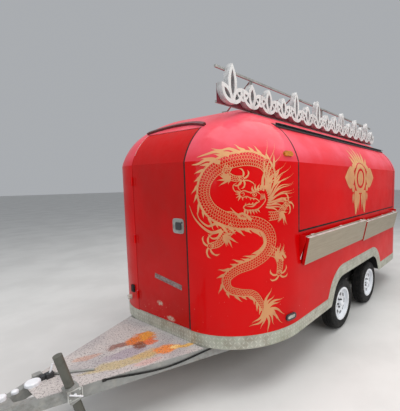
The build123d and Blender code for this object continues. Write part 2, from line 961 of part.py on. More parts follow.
steady_mount = steady_mount_piece()
steady_mounts = Compound(children=[steady_mount, mirrored_y(steady_mount)])
steady_left = steady_piece()
steady_right = mirrored_y(steady_left)

# Roof sign: two rails, posts that stand on the roof and stays behind them
sign_length = sign_front_x - sign_rear_x
post_front_x = -corner_radius - 60
post_pitch = (post_front_x - (rear_x - post_front_x)) / (sign_posts - 1)


def sign_frame_piece():
    """Welded frame of square bars."""
    half = sign_bar / 2
    frame = block((sign_rear_x, sign_front_x), (sign_y - half, sign_y + half), (sign_top - sign_bar, sign_top))
    frame = frame + block(
        (sign_rear_x, sign_front_x), (sign_y - half, sign_y + half), (sign_bottom - sign_bar, sign_bottom)
    )
    for index in range(sign_posts):
        x = post_front_x - index * post_pitch
        foot = roof_height(half_width - sign_y) - wall
        back_y = sign_y - sign_stay_reach
        post = block((x - half, x + half), (sign_y - half, sign_y + half), (foot, sign_top))
        stay = bar((x, back_y, roof_height(half_width - back_y) - wall), (x, sign_y, sign_top - half), sign_bar, sign_bar)
        frame = frame + post + stay
    return frame - outer_form


sign_frame = sign_frame_piece()

# Scroll band: running volutes, each from three half rings, and leaf tips between them.
# Columns: share along the sign, size, which way the volute opens.
scroll_table = [(0.04 + 0.92 * k / 10, 150 if k % 3 else 175, 1 if k % 2 else -1) for k in range(11)]
sign_middle = (sign_top + sign_bottom) / 2
scroll_front_y = sign_y + sign_bar / 2


def half_ring(centre_x, centre_z, radius, width, upper):
    """Upper or lower half of a flat ring, as X and Z."""
    ring = Circle(radius + width / 2) - Circle(radius - width / 2)
    span = radius + width
    cover = Pos(0, span / 2 if upper else -span / 2) * Rectangle(2 * span, span)
    return Pos(centre_x, centre_z) * (ring & cover)


def volute(share, size, way):
    """One scroll as X and Z, drawn from its outer turn to its eye."""
    x = sign_front_x - share * sign_length
    step = size * 0.24
    outer = half_ring(x, sign_middle, size * 0.78, scroll_stroke, way > 0)
    second = half_ring(x + step * 0.75, sign_middle, size * 0.78 - step * 0.75, scroll_stroke, way < 0)
    third = half_ring(x + step * 0.1, sign_middle, size * 0.78 - step * 1.4, scroll_stroke * 0.9, way > 0)
    return outer + second + third


scroll_sketch = [volute(*row) for row in scroll_table]
sign_scrolls = Compound(
    children=[side_plate(s, scroll_front_y + backing_thickness, scroll_front_y + backing_thickness + scroll_depth) for s in scroll_sketch]
)
sign_backing = side_plate(
    Pos((sign_front_x + sign_rear_x) / 2, sign_middle)
    * RectangleRounded(sign_length, (sign_top - sign_bottom) + 2 * backing_margin, 60),
    scroll_front_y,
    scroll_front_y + backing_thickness,
)

# Lamps, socket and plate


def on_corner(angle, height, piece, side):
    """Stand a piece, made facing +X, on a front corner at an angle from the front."""
    reach = corner_radius
    tilt = 0
    if height > belt_height:
        reach = corner_radius - roof_inset(height)
        tilt = -degrees(atan2(height - shoulder_centre[1], shoulder_centre[0] - roof_inset(height)))
    x = -corner_radius + reach * cos(radians(angle))
    y = side * (side_spread + reach * sin(radians(angle)))
    return Pos(x, y, height) * Rot(0, 0, side * angle) * Rot(0, tilt, 0) * piece


def oval_lamp(length, width, proud):
    """Long oval lamp facing +X, its flat back just clear of the wall at its middle."""
    outline = Rot(0, 90, 0) * SlotOverall(length, width, rotation=90)
    return extrude(Pos(-lamp_seat(length), 0, 0) * outline, amount=proud + lamp_seat(length), dir=(1, 0, 0))


def lamp_seat(length):
    """Depth by which the rounded corner falls away behind a lamp of this length."""
    return corner_radius - sqrt(corner_radius**2 - (length / 2) ** 2) + 2


def lamp_pair(angle, height, piece):
    """The same lamp on both front corners, its back cut to the body."""
    lamps = [on_corner(angle, height, piece, side) - outer_form for side in (1, -1)]
    return Compound(children=lamps)


marker_lamps = lamp_pair(lamp_angle, marker_height, oval_lamp(marker_length, marker_width, lamp_proud))
low_lamps = lamp_pair(
    lamp_angle, low_lamp_height, oval_lamp(low_lamp_length, low_lamp_width, lamp_proud)
)
front_lamp = on_corner(
    front_lamp_angle,
    front_lamp_height,
    extrude(Rot(0, 90, 0) * Circle(front_lamp_radius), amount=2 * lamp_proud, both=True),
    -1,
) - outer_form
supply_socket = on_corner(
    socket_angle,
    socket_height,
    block((-lamp_proud, lamp_proud), (-26, 26), (-34, 34)),
    -1,
) - outer_form

tail_lamps = Compound(
    children=[
        block(
            (rear_x - lamp_proud, rear_x - seat_gap),
            (side * tail_lamp_y - tail_lamp_width / 2, side * tail_lamp_y + tail_lamp_width / 2),
            (tail_lamp_height - tail_lamp_length / 2, tail_lamp_height + tail_lamp_length / 2),
        )
        for side in (1, -1)
    ]
)
plate_bottom = skirt_top + plate_rise
number_plate = block(
    (rear_x - seat_gap - plate_thickness, rear_x - seat_gap),
    (-plate_length / 2, plate_length / 2),
    (plate_bottom, plate_bottom + plate_height),
)

pieces = {
    "chassis_rail_left": chassis_rail_left,
    "chassis_rail_right": chassis_rail_right,
    "cross_members": cross_members,
    "drawbar_rail_left": drawbar_rail_left,
    "drawbar_rail_right": drawbar_rail_right,
    "deck_plate": deck_plate,
    "nose_box": nose_box,
    "coupler": coupler,
    "coupler_lever": coupler_lever,
    "jack_clamp": jack_clamp,
    "jack_tube": jack_tube,
    "jack_leg": jack_leg,
    "axle_front": axle_front,
    "axle_rear": axle_rear,
    "floor_panel": floor_panel,
    "front_cap": front_cap,
    "rear_cap": rear_cap,
    "left_wall": left_wall,
    "right_wall": right_wall,
    "roof_panel": roof_panel,
    "skirt_band": skirt_band,
    "wheel_box_left": wheel_box_left,
    "wheel_box_right": wheel_box_right,
    "door": door,
    "door_latch": door_latch,
    "door_hinges": door_hinges,
    "door_rail": door_rail,
    "hatch": hatch,
    "hatch_rail": hatch_rail,
    "shelf_brackets": shelf_brackets,
    "shelf_rods": shelf_rods,
    "steady_mounts": steady_mounts,
    "steady_left": steady_left,
    "steady_right": steady_right,
    "sign_frame": sign_frame,
    "sign_backing": sign_backing,
    "sign_scrolls": sign_scrolls,
    "marker_lamps": marker_lamps,
    "low_lamps": low_lamps,
    "front_lamp": front_lamp,
    "supply_socket": supply_socket,
    "tail_lamps": tail_lamps,
    "number_plate": number_plate,
}
pieces.update(shelves)
for name, (x, side) in wheel_places.items():
    pieces["rim_" + name] = place_wheel(rim, x, side)
    pieces["tyre_" + name] = place_wheel(tyre, x, side)

# The stored origin is the middle of the whole trailer's footprint, on the ground
whole = Compound(children=[Compound(piece.solids()) for piece in pieces.values()]).bounding_box()
origin_x = (whole.min.X + whole.max.X) / 2
origin_y = (whole.min.Y + whole.max.Y) / 2

os.makedirs("parts", exist_ok=True)
for name, piece in pieces.items():
    solids = Pos(-origin_x, -origin_y, 0) * Compound(piece.solids())
    export_step(solids, "parts/" + name + ".step")
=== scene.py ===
import json
from math import atan2, cos, degrees, pi, radians, sin, sqrt
from random import Random

import bpy
from mathutils import Matrix, Vector
from mathutils.bvhtree import BVHTree


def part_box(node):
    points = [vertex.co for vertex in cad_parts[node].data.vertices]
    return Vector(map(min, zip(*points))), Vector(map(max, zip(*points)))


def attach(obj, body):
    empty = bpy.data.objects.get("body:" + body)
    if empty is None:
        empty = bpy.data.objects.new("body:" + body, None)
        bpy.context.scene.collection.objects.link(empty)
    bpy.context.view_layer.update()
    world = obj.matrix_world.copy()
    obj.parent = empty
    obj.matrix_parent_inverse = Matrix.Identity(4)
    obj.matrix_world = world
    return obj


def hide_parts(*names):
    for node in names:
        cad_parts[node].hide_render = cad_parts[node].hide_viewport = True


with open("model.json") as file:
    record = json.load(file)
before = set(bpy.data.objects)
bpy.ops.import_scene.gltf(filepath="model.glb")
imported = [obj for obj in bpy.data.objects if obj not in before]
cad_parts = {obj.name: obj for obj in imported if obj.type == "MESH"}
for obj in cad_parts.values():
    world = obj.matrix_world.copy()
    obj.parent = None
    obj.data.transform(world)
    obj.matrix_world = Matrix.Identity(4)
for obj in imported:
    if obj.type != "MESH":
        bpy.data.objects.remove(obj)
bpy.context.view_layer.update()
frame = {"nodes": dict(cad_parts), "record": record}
nodes = frame["nodes"]
scene = bpy.context.scene

# Main planes of the body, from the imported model, in metres
front_low, front_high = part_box("front_cap")
front_x = front_high.x
rear_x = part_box("rear_cap")[0].x
middle_y = (front_low.y + front_high.y) / 2
half_width = (front_high.y - front_low.y) / 2
body_bottom = front_low.z
corner_radius = 0.656
corner_x = front_x - corner_radius
corner_y = middle_y + half_width - corner_radius
corner_arc = corner_radius * pi / 2
belt_height = 1.897
skirt_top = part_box("door")[0].z
drawbar_half_width = 0.545
drawbar_slope = 0.42
drawbar_turn = atan2(drawbar_slope, 1)
body_names = ("front_cap", "rear_cap", "left_wall", "right_wall", "roof_panel", "door", "hatch")


def at(x, y, z):
    """Point given from the front wall, the middle plane and the ground."""
    return Vector((front_x + x, middle_y + y, z))


def srgb(red, green, blue):
    """Linear colour from a display colour out of 255."""
    return tuple((c / 255) ** 2.2 for c in (red, green, blue))


# Camera and lights

# Where the camera stands, from the front wall, the middle plane and the ground
camera_place = (1.5972, 2.3978, 1.7293)
camera_yaw = -145.3218
camera_pitch = -5.1711
camera_roll = -0.5772
focal_pixels = 308.584
picture_width = 400
picture_height = 411
axis_pixel = (279.91, 210.05)
sensor_size = 36

# Columns: name, place from the front wall, the middle plane and the ground, size, power, colour
lights = [
    ("overhead", (-1.8, 1.2, 7.5), (9, 7), 620, (1, 0.98, 0.95)),
    ("serving_side", (0.5, 7.5, 4.2), (6, 4), 260, (1, 0.98, 0.96)),
    ("front", (7.5, -1.0, 3.6), (5, 4), 150, (0.95, 0.97, 1)),
]
lights_target = (-2.1, 0, 1.2)


def make_camera():
    """Camera at the photograph's place, its frame shifted as the photograph's is."""
    yaw = radians(camera_yaw)
    pitch = radians(camera_pitch)
    roll = radians(camera_roll)
    ahead = Vector((cos(pitch) * cos(yaw), cos(pitch) * sin(yaw), sin(pitch)))
    level = ahead.cross(Vector((0, 0, 1))).normalized()
    upright = level.cross(ahead)
    right = level * cos(roll) + upright * sin(roll)
    up = upright * cos(roll) - level * sin(roll)
    data = bpy.data.cameras.new("camera")
    data.sensor_fit = "VERTICAL"
    data.sensor_height = sensor_size
    data.lens = sensor_size * focal_pixels / picture_height
    data.shift_x = (picture_width / 2 - axis_pixel[0]) / picture_height
    data.shift_y = (axis_pixel[1] - picture_height / 2) / picture_height
    data.clip_end = 200
    camera = bpy.data.objects.new("camera", data)
    turn = Matrix((right, up, -ahead)).transposed().to_4x4()
    camera.matrix_world = Matrix.Translation(at(*camera_place)) @ turn
    scene.collection.objects.link(camera)
    scene.camera = camera


def make_lights():
    """Pale surroundings, a wide soft light overhead and two weaker ones from the sides."""
    world = bpy.data.worlds.new("studio")
    world.use_nodes = True
    background = world.node_tree.nodes["Background"]
    background.inputs["Color"].default_value = (0.80, 0.83, 0.87, 1)
    background.inputs["Strength"].default_value = 0.5
    scene.world = world
    scene.view_settings.view_transform = "Standard"
    for name, place, size, power, colour in lights:
        data = bpy.data.lights.new(name, "AREA")
        data.shape = "RECTANGLE"
        data.size, data.size_y = size
        data.energy = power
        data.color = colour
        light = bpy.data.objects.new(name, data)
        light.location = at(*place)
        aim = at(*lights_target) - light.location
        light.rotation_euler = aim.to_track_quat("-Z", "Y").to_euler()
        scene.collection.objects.link(light)


# Finishes


class Finish:
    """One material's node tree, with short calls for the nodes that are used here."""

    def __init__(self, name, base, **constants):
        self.material = bpy.data.materials.new(name)
        self.material.use_nodes = True
        self.material.diffuse_color = (*base, 1)
        self.tree = self.material.node_tree
        self.shader = self.tree.nodes["Principled BSDF"]
        self.shader.inputs["Base Color"].default_value = (*base, 1)
        for socket, value in constants.items():
            self.shader.inputs[socket.replace("_", " ")].default_value = value
        self.place = self.node("TexCoord", "Object")
        self.base = base

    def node(self, kind, output, sockets=None, **settings):
        """One output of a new node, its sockets linked or set."""
        node = self.tree.nodes.new("ShaderNode" + kind)
        for name, setting in settings.items():
            setattr(node, name, setting)
        for key, value in (sockets or {}).items():
            socket = node.inputs[key]
            if isinstance(value, bpy.types.NodeSocket):
                self.tree.links.new(value, socket)
            elif socket.type == "RGBA":
                socket.default_value = (*value, 1)
            else:
                socket.default_value = value
        return node.outputs[output]

    def noise(self, scale, detail=4.0, roughness=0.55, stretch=None, output="Fac"):
        """Noise over the object, its pattern finer along the axes that stretch multiplies."""
        place = self.place
        if stretch:
            place = self.node("Mapping", "Vector", {"Vector": place, "Scale": stretch})
        sockets = {"Vector": place, "Scale": scale, "Detail": detail, "Roughness": roughness}
        return self.node("TexNoise", output, sockets)

    def warped(self, scale, reach):
        """Place pushed about by noise, so that what is drawn on it has torn edges."""
        noise = self.noise(scale, 5, 0.5, output="Color")
        push = {0: noise, 1: (reach, reach, 0), 2: (-reach / 2, -reach / 2, 0)}
        push = self.node("VectorMath", 0, push, operation="MULTIPLY_ADD")
        return self.node("VectorMath", 0, {0: self.place, 1: push})

    def cells(self, scale):
        return self.node("TexVoronoi", "Color", {"Vector": self.place, "Scale": scale})

    def span(self, value, low, high, to_low=0.0, to_high=1.0):
        """Value brought from one range to another, held at its ends."""
        sockets = {"Value": value, "From Min": low, "From Max": high, "To Min": to_low, "To Max": to_high}
        return self.node("MapRange", "Result", sockets, interpolation_type="SMOOTHSTEP")

    def patch(self, noise, low, high, to_low=0.0, to_high=1.0):
        """Noise held between two levels, as patches with soft edges."""
        return self.span(self.noise(*noise), low, high, to_low, to_high)

    def maths(self, operation, first, second):
        return self.node("Math", 0, {0: first, 1: second}, operation=operation)

    def times(self, first, second):
        return self.maths("MULTIPLY", first, second)

    def blend(self, factor, first, second):
        """Colour mixed from two by a factor."""
        return self.node("Mix", 2, {0: factor, 6: first, 7: second}, data_type="RGBA")

    def layer(self, mask, strength, colour):
        """Lay a colour over the base in the mask's places."""
        factor = mask if strength == 1 else self.times(mask, strength)
        self.base = self.blend(factor, self.base, srgb(*colour))

    def axis(self, name, vector=None):
        """One coordinate of the place, or of another vector."""
        return self.node("SeparateXYZ", name, {0: vector or self.place})

    def facing(self, name):
        """One coordinate of the surface's outward direction."""
        return self.axis(name, self.node("NewGeometry", "Normal"))

    def spot(self, centre, size, soft=0.6):
        """Mask that is 1 at a centre and falls to 0 at an oval's edge."""
        away = self.node("VectorMath", 0, {0: self.place, 1: centre}, operation="SUBTRACT")
        away = self.node("VectorMath", 0, {0: away, 1: size}, operation="DIVIDE")
        return self.span(self.node("VectorMath", "Value", {0: away}, operation="LENGTH"), 1.0, 1.0 - soft)

    def done(self, rough, reliefs):
        """Material with its roughness (noise and ranges) and reliefs (noise, metres, strength)."""
        self.tree.links.new(self.base, self.shader.inputs["Base Color"])
        if rough:
            self.tree.links.new(self.patch(*rough), self.shader.inputs["Roughness"])
        below = {}
        for noise, distance, strength in reliefs:
            sockets = {"Height": self.noise(*noise), "Distance": distance, "Strength": strength, **below}
            below = {"Normal": self.node("Bump", "Normal", sockets)}
        self.tree.links.new(below["Normal"], self.shader.inputs["Normal"])
        return self.material


def finish(name, base, layers, rough, reliefs, **constants):
    """Material of a base colour under layers of (noise, low, high, strength, colour)."""
    f = Finish(name, srgb(*base), **constants)
    for noise, low, high, strength, tint in layers:
        f.layer(f.patch(noise, low, high), strength, tint)
    return f.done(rough, reliefs)


def red_paint():
    """Gloss red coach paint with a painted pink sky reflection on its upward faces, dusty at the foot, with
    small chips.
    """
    f = Finish("red_paint", srgb(203, 3, 9), Coat_Weight=0.2, Coat_Roughness=0.08, Specular_IOR_Level=0.06)
    height = f.axis("Z")
    f.layer(f.patch((1.1, 3), 0.35, 0.7), 1, (186, 3, 10))
    f.layer(f.times(f.span(height, 0.9, 0.5), f.patch((9, 6, 0.7), 0.45, 0.75)), 0.12, (150, 70, 60))
    # Painted reflection: pink sky sheen, in patches, on faces that look upwards
    painted_sky_sheen = f.times(f.span(f.facing("Z"), 0.10, 0.5), f.patch((2.4, 4), 0.3, 0.75, 0.2, 0.46))
    f.layer(painted_sky_sheen, 1, (238, 128, 150))
    low = f.maths("ADD", f.times(f.span(height, 1.0, 0.55), 0.7), 0.03)
    f.layer(f.times(f.patch((46, 3, 0.5), 0.735, 0.75), low), 1, (196, 186, 178))
    reliefs = [((1.6, 2, 0.4, (1, 1, 0.8)), 0.014, 0.35), ((220, 2), 0.0003, 0.4)]
    return f.done(((5, 5, 0.6), 0.3, 0.8, 0.34, 0.5), reliefs)


def door_paint():
    """The door's red: flatter, more orange and more worn than the body's."""
    f = Finish("door_paint", srgb(186, 6, 8), Coat_Weight=0.1, Coat_Roughness=0.2, Specular_IOR_Level=0.12)
    f.layer(f.patch((1.6, 4), 0.3, 0.7), 1, (168, 14, 8))
    worn = f.times(f.patch((34, 5, 0.7), 0.62, 0.67), f.span(f.axis("Z"), 0.8, 0.5))
    first = f.spot(tuple(at(0.0, -0.03, 0.655)), (0.2, 0.055, 0.03))
    second = f.spot(tuple(at(0.0, 0.12, 0.548)), (0.2, 0.07, 0.03))
    bare = f.times(f.maths("MAXIMUM", first, second), f.patch((60, 4), 0.42, 0.5))
    f.layer(f.maths("MAXIMUM", f.times(worn, 0.5), bare), 1, (184, 158, 142))
    f.layer(f.patch((7, 6, 0.75), 0.4, 0.8), 0.1, (130, 70, 62))
    reliefs = [((2.2, 2, 0.4), 0.012, 0.35), ((200, 3), 0.0004, 0.4)]
    return f.done(((6, 5, 0.65), 0.3, 0.8, 0.42, 0.62), reliefs)


def lining():
    """Pale inner lining of the body."""
    layers = [((6, 5), 0.35, 0.75, 1, (198, 194, 184))]
    return finish("lining", (218, 216, 208), layers, None, [((90, 3), 0.0004, 0.5)], Roughness=0.5)


def checker_metal(name="checker_metal", pale=(178, 178, 166), dull=(146, 142, 128)):
    """Embossed aluminium plate, dull and dirty between its bars."""
    layers = [
        ((11, 6, 0.7), 0.35, 0.72, 1, dull),
        ((4, 4, 0.6), 0.45, 0.65, 0.35, (150, 160, 140)),
        ((26, 5, 0.7, (1, 1, 0.25)), 0.56, 0.74, 0.45, (112, 98, 80)),
    ]
    reliefs = [((160, 3), 0.0006, 0.5), ((5, 2), 0.006, 0.3)]
    return finish(name, pale, layers, ((30, 4), 0.3, 0.75, 0.34, 0.62), reliefs, Metallic=0.35)


def zinc(name="zinc", tone=1.0, rust=0.35):
    """Galvanised steel with spangle, white bloom and rust in places."""
    f = Finish(name, srgb(150 * tone, 151 * tone, 148 * tone), Metallic=0.55)
    f.layer(f.cells(55), 0.22, (190 * tone, 192 * tone, 190 * tone))
    f.layer(f.patch((14, 6, 0.7), 0.5, 0.72), 0.45, (184, 180, 170))
    f.layer(f.patch((4.5, 6, 0.75), 0.48, 0.72), 0.6, (92, 84, 74))
    f.layer(f.patch((9, 7, 0.8, (1.4, 1, 1)), 0.6, 0.7), rust, (122, 66, 34))
    return f.done(((22, 4), 0.3, 0.8, 0.42, 0.75), [((120, 4), 0.0008, 0.5)])


# Stains on the deck. Columns: place, half sizes along and across the left rail, colour, strength
deck_stains = [
    ((0.46, 0.20), (0.34, 0.075), (182, 162, 104), 0.7),
    ((0.28, 0.25), (0.20, 0.060), (196, 160, 96), 0.6),
    ((0.40, 0.10), (0.22, 0.09), (146, 134, 150), 0.65),
    ((0.36, 0.33), (0.14, 0.05), (206, 150, 140), 0.5),
    ((0.60, -0.12), (0.12, 0.06), (196, 120, 70), 0.4),
    ((0.37, -0.06), (0.15, 0.060), (128, 66, 42), 0.8),
    ((0.20, -0.02), (0.15, 0.150), (206, 110, 36), 1.0),
    ((0.15, -0.03), (0.08, 0.11), (216, 144, 44), 0.9),
    ((0.18, 0.09), (0.07, 0.07), (214, 96, 36), 0.9),
    ((0.26, 0.07), (0.065, 0.095), (118, 60, 34), 0.9),
    ((0.18, 0.30), (0.13, 0.095), (226, 134, 62), 1.0),
    ((0.13, 0.33), (0.055, 0.055), (238, 206, 130), 0.9),
    ((0.05, 0.375), (0.13, 0.045), (222, 168, 66), 0.9),
]


def deck_paint():
    """Speckled grey deck plate with old paint stains in orange, yellow and violet."""
    f = Finish("deck_paint", srgb(188, 183, 180), Metallic=0.1)
    f.layer(f.patch((3.2, 5, 0.65), 0.42, 0.66), 1, (168, 165, 166))
    plain_place = f.place
    turned = {"Vector": f.place, "Rotation": (0, 0, -drawbar_turn)}
    f.place = f.node("Mapping", "Vector", turned, vector_type="TEXTURE")
    grain = f.times(f.noise(24, 6, 0.75, (0.3, 1, 1)), 1.2)
    f.place = f.warped(7, 0.14)
    turn_back = Matrix.Rotation(drawbar_turn, 3, "Z")
    for (x, y), (reach_x, reach_y), tint, strength in deck_stains:
        size = (reach_x * 1.25, reach_y * 1.25, 1)
        mask = f.spot(tuple(turn_back @ at(x, y, 0.4)), size, 0.9)
        f.layer(f.span(f.maths("ADD", mask, grain), 0.86, 1.3), strength, tint)
    f.place = plain_place
    f.layer(f.patch((88, 3, 0.6), 0.55, 0.61), 0.72, (78, 72, 76))
    f.layer(f.patch((170, 2, 0.5), 0.6, 0.66), 0.4, (226, 220, 214))
    return f.done(((14, 7, 0.75, (0.7, 1, 1)), 0.3, 0.7, 0.55, 0.85), [((150, 3), 0.0012, 0.8)])


def stainless():
    """Brushed stainless sheet, dulled by dirt, with soft creases."""
    tint = (162, 151, 132)
    brushed = (90, 4, 0.6, (0.04, 1, 1))
    layers = [
        (brushed, 0.3, 0.75, 1, [c * 0.96 for c in tint]),
        ((5, 6, 0.7), 0.45, 0.75, 0.3, (140, 128, 108)),
    ]
    reliefs = [(brushed, 0.0001, 0.3), ((3.2, 2, 0.4), 0.008, 0.4)]
    pale = [c * 1.02 for c in tint]
    return finish("stainless", pale, layers, (brushed, 0.3, 0.7, 0.44, 0.5), reliefs, Metallic=0.5)


def enamel(name, colour, rough, dirt):
    """Gloss paint over steel, with dirt in patches."""
    layers = [((16, 6, 0.7), 0.48, 0.75, dirt, [c * 0.62 for c in colour])]
    wear = ((30, 4), 0.3, 0.75, rough, rough + 0.25)
    reliefs = [((140, 3), 0.0004, 0.5)]
    return finish(name, colour, layers, wear, reliefs, Coat_Weight=0.4, Coat_Roughness=0.12)


def rubber(name, tone):
    """Black rubber with grey dust."""
    layers = [((18, 6, 0.7), 0.42, 0.8, 0.35, (84, 80, 74))]
    wear = ((40, 4), 0.3, 0.75, 0.62, 0.9)
    reliefs = [((260, 3), 0.0004, 0.6)]
    return finish(name, (tone, tone, tone + 1), layers, wear, reliefs, Specular_IOR_Level=0.35)


def board():
    """Sealed wooden floor board."""
    grain = (14, 6, 0.6, (0.12, 2.4, 1))
    layers = [(grain, 0.3, 0.7, 1, (104, 82, 60))]
    return finish("board", (150, 124, 92), layers, None, [(grain, 0.001, 0.6)], Roughness=0.6)


def lens(name, colour):
    """Moulded lamp lens with fine ribs."""
    layers = [((40, 4), 0.4, 0.7, 1, [c * 0.8 for c in colour])]
    ribs = [((90, 1, 0.3, (1, 1, 4)), 0.0006, 0.8)]
    gloss = {"Roughness": 0.18, "Coat_Weight": 0.6, "Coat_Roughness": 0.04, "Transmission_Weight": 0.35}
    return finish(name, colour, layers, None, ribs, **gloss)


def sign_return():
    """Sign flowers: white acrylic on the face, folded aluminium on the sides."""
    f = Finish("sign_return", srgb(208, 209, 207))
    f.layer(f.patch((12, 5, 0.7, (1, 1, 0.3)), 0.46, 0.72), 0.5, (150, 148, 146))
    white = f.base
    f.base = srgb(192, 193, 194)
    f.layer(f.patch((20, 4), 0.3, 0.7), 1, (150, 150, 150))
    f.base = f.blend(f.span(f.facing("Y"), 0.6, 0.8), f.base, white)
    return f.done(((30, 3), 0.3, 0.7, 0.22, 0.4), [((60, 2), 0.0003, 0.4)])


def gold_film():
    """Matt gold vinyl film, a little paler towards the top."""
    f = Finish("gold_film", srgb(200, 142, 94), Metallic=0.1)
    f.layer(f.patch((4, 5, 0.65), 0.35, 0.7), 1, (184, 118, 80))
    f.layer(f.span(f.axis("Z"), 1.5, 2.1), 0.35, (226, 180, 122))
    return f.done(((50, 4), 0.3, 0.7, 0.42, 0.6), [((300, 2), 0.0002, 0.4)])


def tape_film():
    """Worn silver tape with dark scuffs."""
    layers = [((42, 6, 0.75, (1, 0.6, 1.4)), 0.44, 0.58, 1, (116, 84, 82))]
    wear = ((60, 4), 0.3, 0.7, 0.4, 0.7)
    return finish("tape_film", (140, 128, 126), layers, wear, [((70, 4), 0.001, 0.7)], Metallic=0.3)


def floor_grey():
    """Pale studio floor."""
    f = Finish("floor_grey", (0.64, 0.64, 0.63), Roughness=0.8)
    f.base = f.blend(f.patch((1.2, 4), 0.35, 0.65), f.base, (0.58, 0.58, 0.57))
    return f.done(None, [((30, 3), 0.001, 0.2)])


paints = {
    "red_body": red_paint(),
    "checker_plate": checker_metal(),
    "stainless": stainless(),
    "galvanised": zinc(),
    "deck_steel": deck_paint(),
    "dark_steel": enamel("dark_steel", (44, 44, 47), 0.4, 0.35),
    "white_steel": enamel("white_steel", (226, 229, 234), 0.3, 0.22),
    "tyre_rubber": rubber("tyre_rubber", 24),
    "black_trim": rubber("black_trim", 20),
    "floor_board": board(),
    "amber_lens": lens("amber_lens", (214, 132, 20)),
    "clear_lens": lens("clear_lens", (222, 218, 206)),
    "red_lens": lens("red_lens", (168, 12, 14)),
    "blank_plate": enamel("blank_plate", (222, 222, 216), 0.35, 0.25),
    "sign_white": sign_return(),
    "sign_maroon": enamel("sign_maroon", (104, 26, 42), 0.35, 0.3),
}
gold = gold_film()
inner_white = lining()
door_red = door_paint()
tape = tape_film()
jack_grey = enamel("jack_grey", (82, 82, 74), 0.45, 0.5)
# Very dark red: painted shade over the whole door rain strip, which is red
shaded_gutter_red = enamel("shaded_gutter_red", (84, 6, 10), 0.4, 0.3)
latch_zinc = zinc("latch_zinc", 1.05, 0.1)
# Pale zinc: a painted highlight on the shelves' upward faces, and the clamp's ribs
pale_zinc_and_highlight = zinc("pale_zinc_and_highlight", 1.3, 0.05)
bar_metal = checker_metal("bar_metal", (206, 205, 193), (172, 169, 155))


# Finishes on the solids

wheel_names = ("front_left", "front_right", "rear_left", "rear_right")
disc_foot = 0.019
disc_radius = 0.1405


def wheel_centre(name):
    low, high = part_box("tyre_" + name)
    return (low + high) / 2


def mark(name, material, holds):
    """Give a material to the faces of a CAD node that a test holds for."""
    mesh = nodes[name].data
    mesh.materials.append(material)
    for face in mesh.polygons:
        if holds(face):
            face.material_index = len(mesh.materials) - 1


def dress_nodes():
    """Give every CAD node the finish of its slot or one of its own, line the body's inner faces, and paint
    shade, a reflection and a highlight on some faces.
    """
    dark = paints["black_trim"]
    own = {"door": door_red, "shelf_brackets": door_red, "jack_tube": jack_grey, "jack_leg": jack_grey}
    # Painted shade: the wheel boxes take black rubber for the shade inside the arches
    own.update(wheel_box_left=dark, wheel_box_right=dark)
    for part in frame["record"]["subparts"]:
        materials = nodes[part["node"]].data.materials
        materials.clear()
        materials.append(own.get(part["node"], paints[part["material_slot"]]))
    inside = at((rear_x - front_x) / 2, 0, 1.35)

    def faces_in(face):
        away = face.center - inside
        away.x *= 0.3
        in_jamb = abs(face.normal.y) > 0.9 and face.center.x > front_x - 0.045
        return face.normal.dot(away.normalized()) < -0.25 and not in_jamb

    for name in body_names:
        mark(name, inner_white, faces_in)
    # Painted shade: the walls' faces round the wheel arches take black rubber
    for name in ("left_wall", "right_wall"):
        mark(name, dark, lambda face: abs(face.normal.y) < 0.3 and face.center.z < arch_height + 0.04)
    # Painted reflection: the shelves' end faces take the door's red, for the body's red mirrored in the
    # steel. Painted highlight: their upward faces take pale zinc.
    for name in ("shelf_front", "shelf_rear"):
        mark(name, door_red, lambda face: abs(face.normal.x) > 0.9)
        mark(name, pale_zinc_and_highlight, lambda face: face.normal.z > 0.6)
    for name in wheel_names:
        centre = wheel_centre(name)
        way = 1 if name.endswith("left") else -1

        def behind_disc(face):
            spoke = Vector((face.center.x - centre.x, 0, face.center.z - centre.z))
            sunk = way * (face.center.y - centre.y) < disc_foot
            return sunk and (spoke.length < disc_radius or face.normal.dot(spoke) < 0)

        # The rim's faces behind the disc take black rubber: the drum there is dark, and the white barrel's
        # inner faces are black as painted shade
        mark("rim_" + name, dark, behind_disc)


# Pieces of many small forms


def piece(name, points, faces, body, slot, material=None, smooth=False, replaces=None):
    """Mesh piece that rides on a body, in its slot's finish or in one of its own."""
    mesh = bpy.data.meshes.new(name)
    mesh.from_pydata([tuple(p) for p in points], [], faces)
    mesh.materials.append(material or paints[slot])
    mesh.polygons.foreach_set("use_smooth", [smooth] * len(mesh.polygons))
    mesh.update()
    item = bpy.data.objects.new(name, mesh)
    scene.collection.objects.link(item)
    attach(item, body)
    if replaces:
        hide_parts(replaces)


def wall(count, first, second, closed=True):
    """Quads between two runs of point numbers."""
    faces = []
    for k in range(count if closed else count - 1):
        after = (k + 1) % count
        faces.append((first + k, first + after, second + after, second + k))
    return faces


def spoke_of(side, other, k, count):
    """Direction k of count round a circle that two directions span."""
    angle = 2 * pi * k / count
    return side * cos(angle) + other * sin(angle)


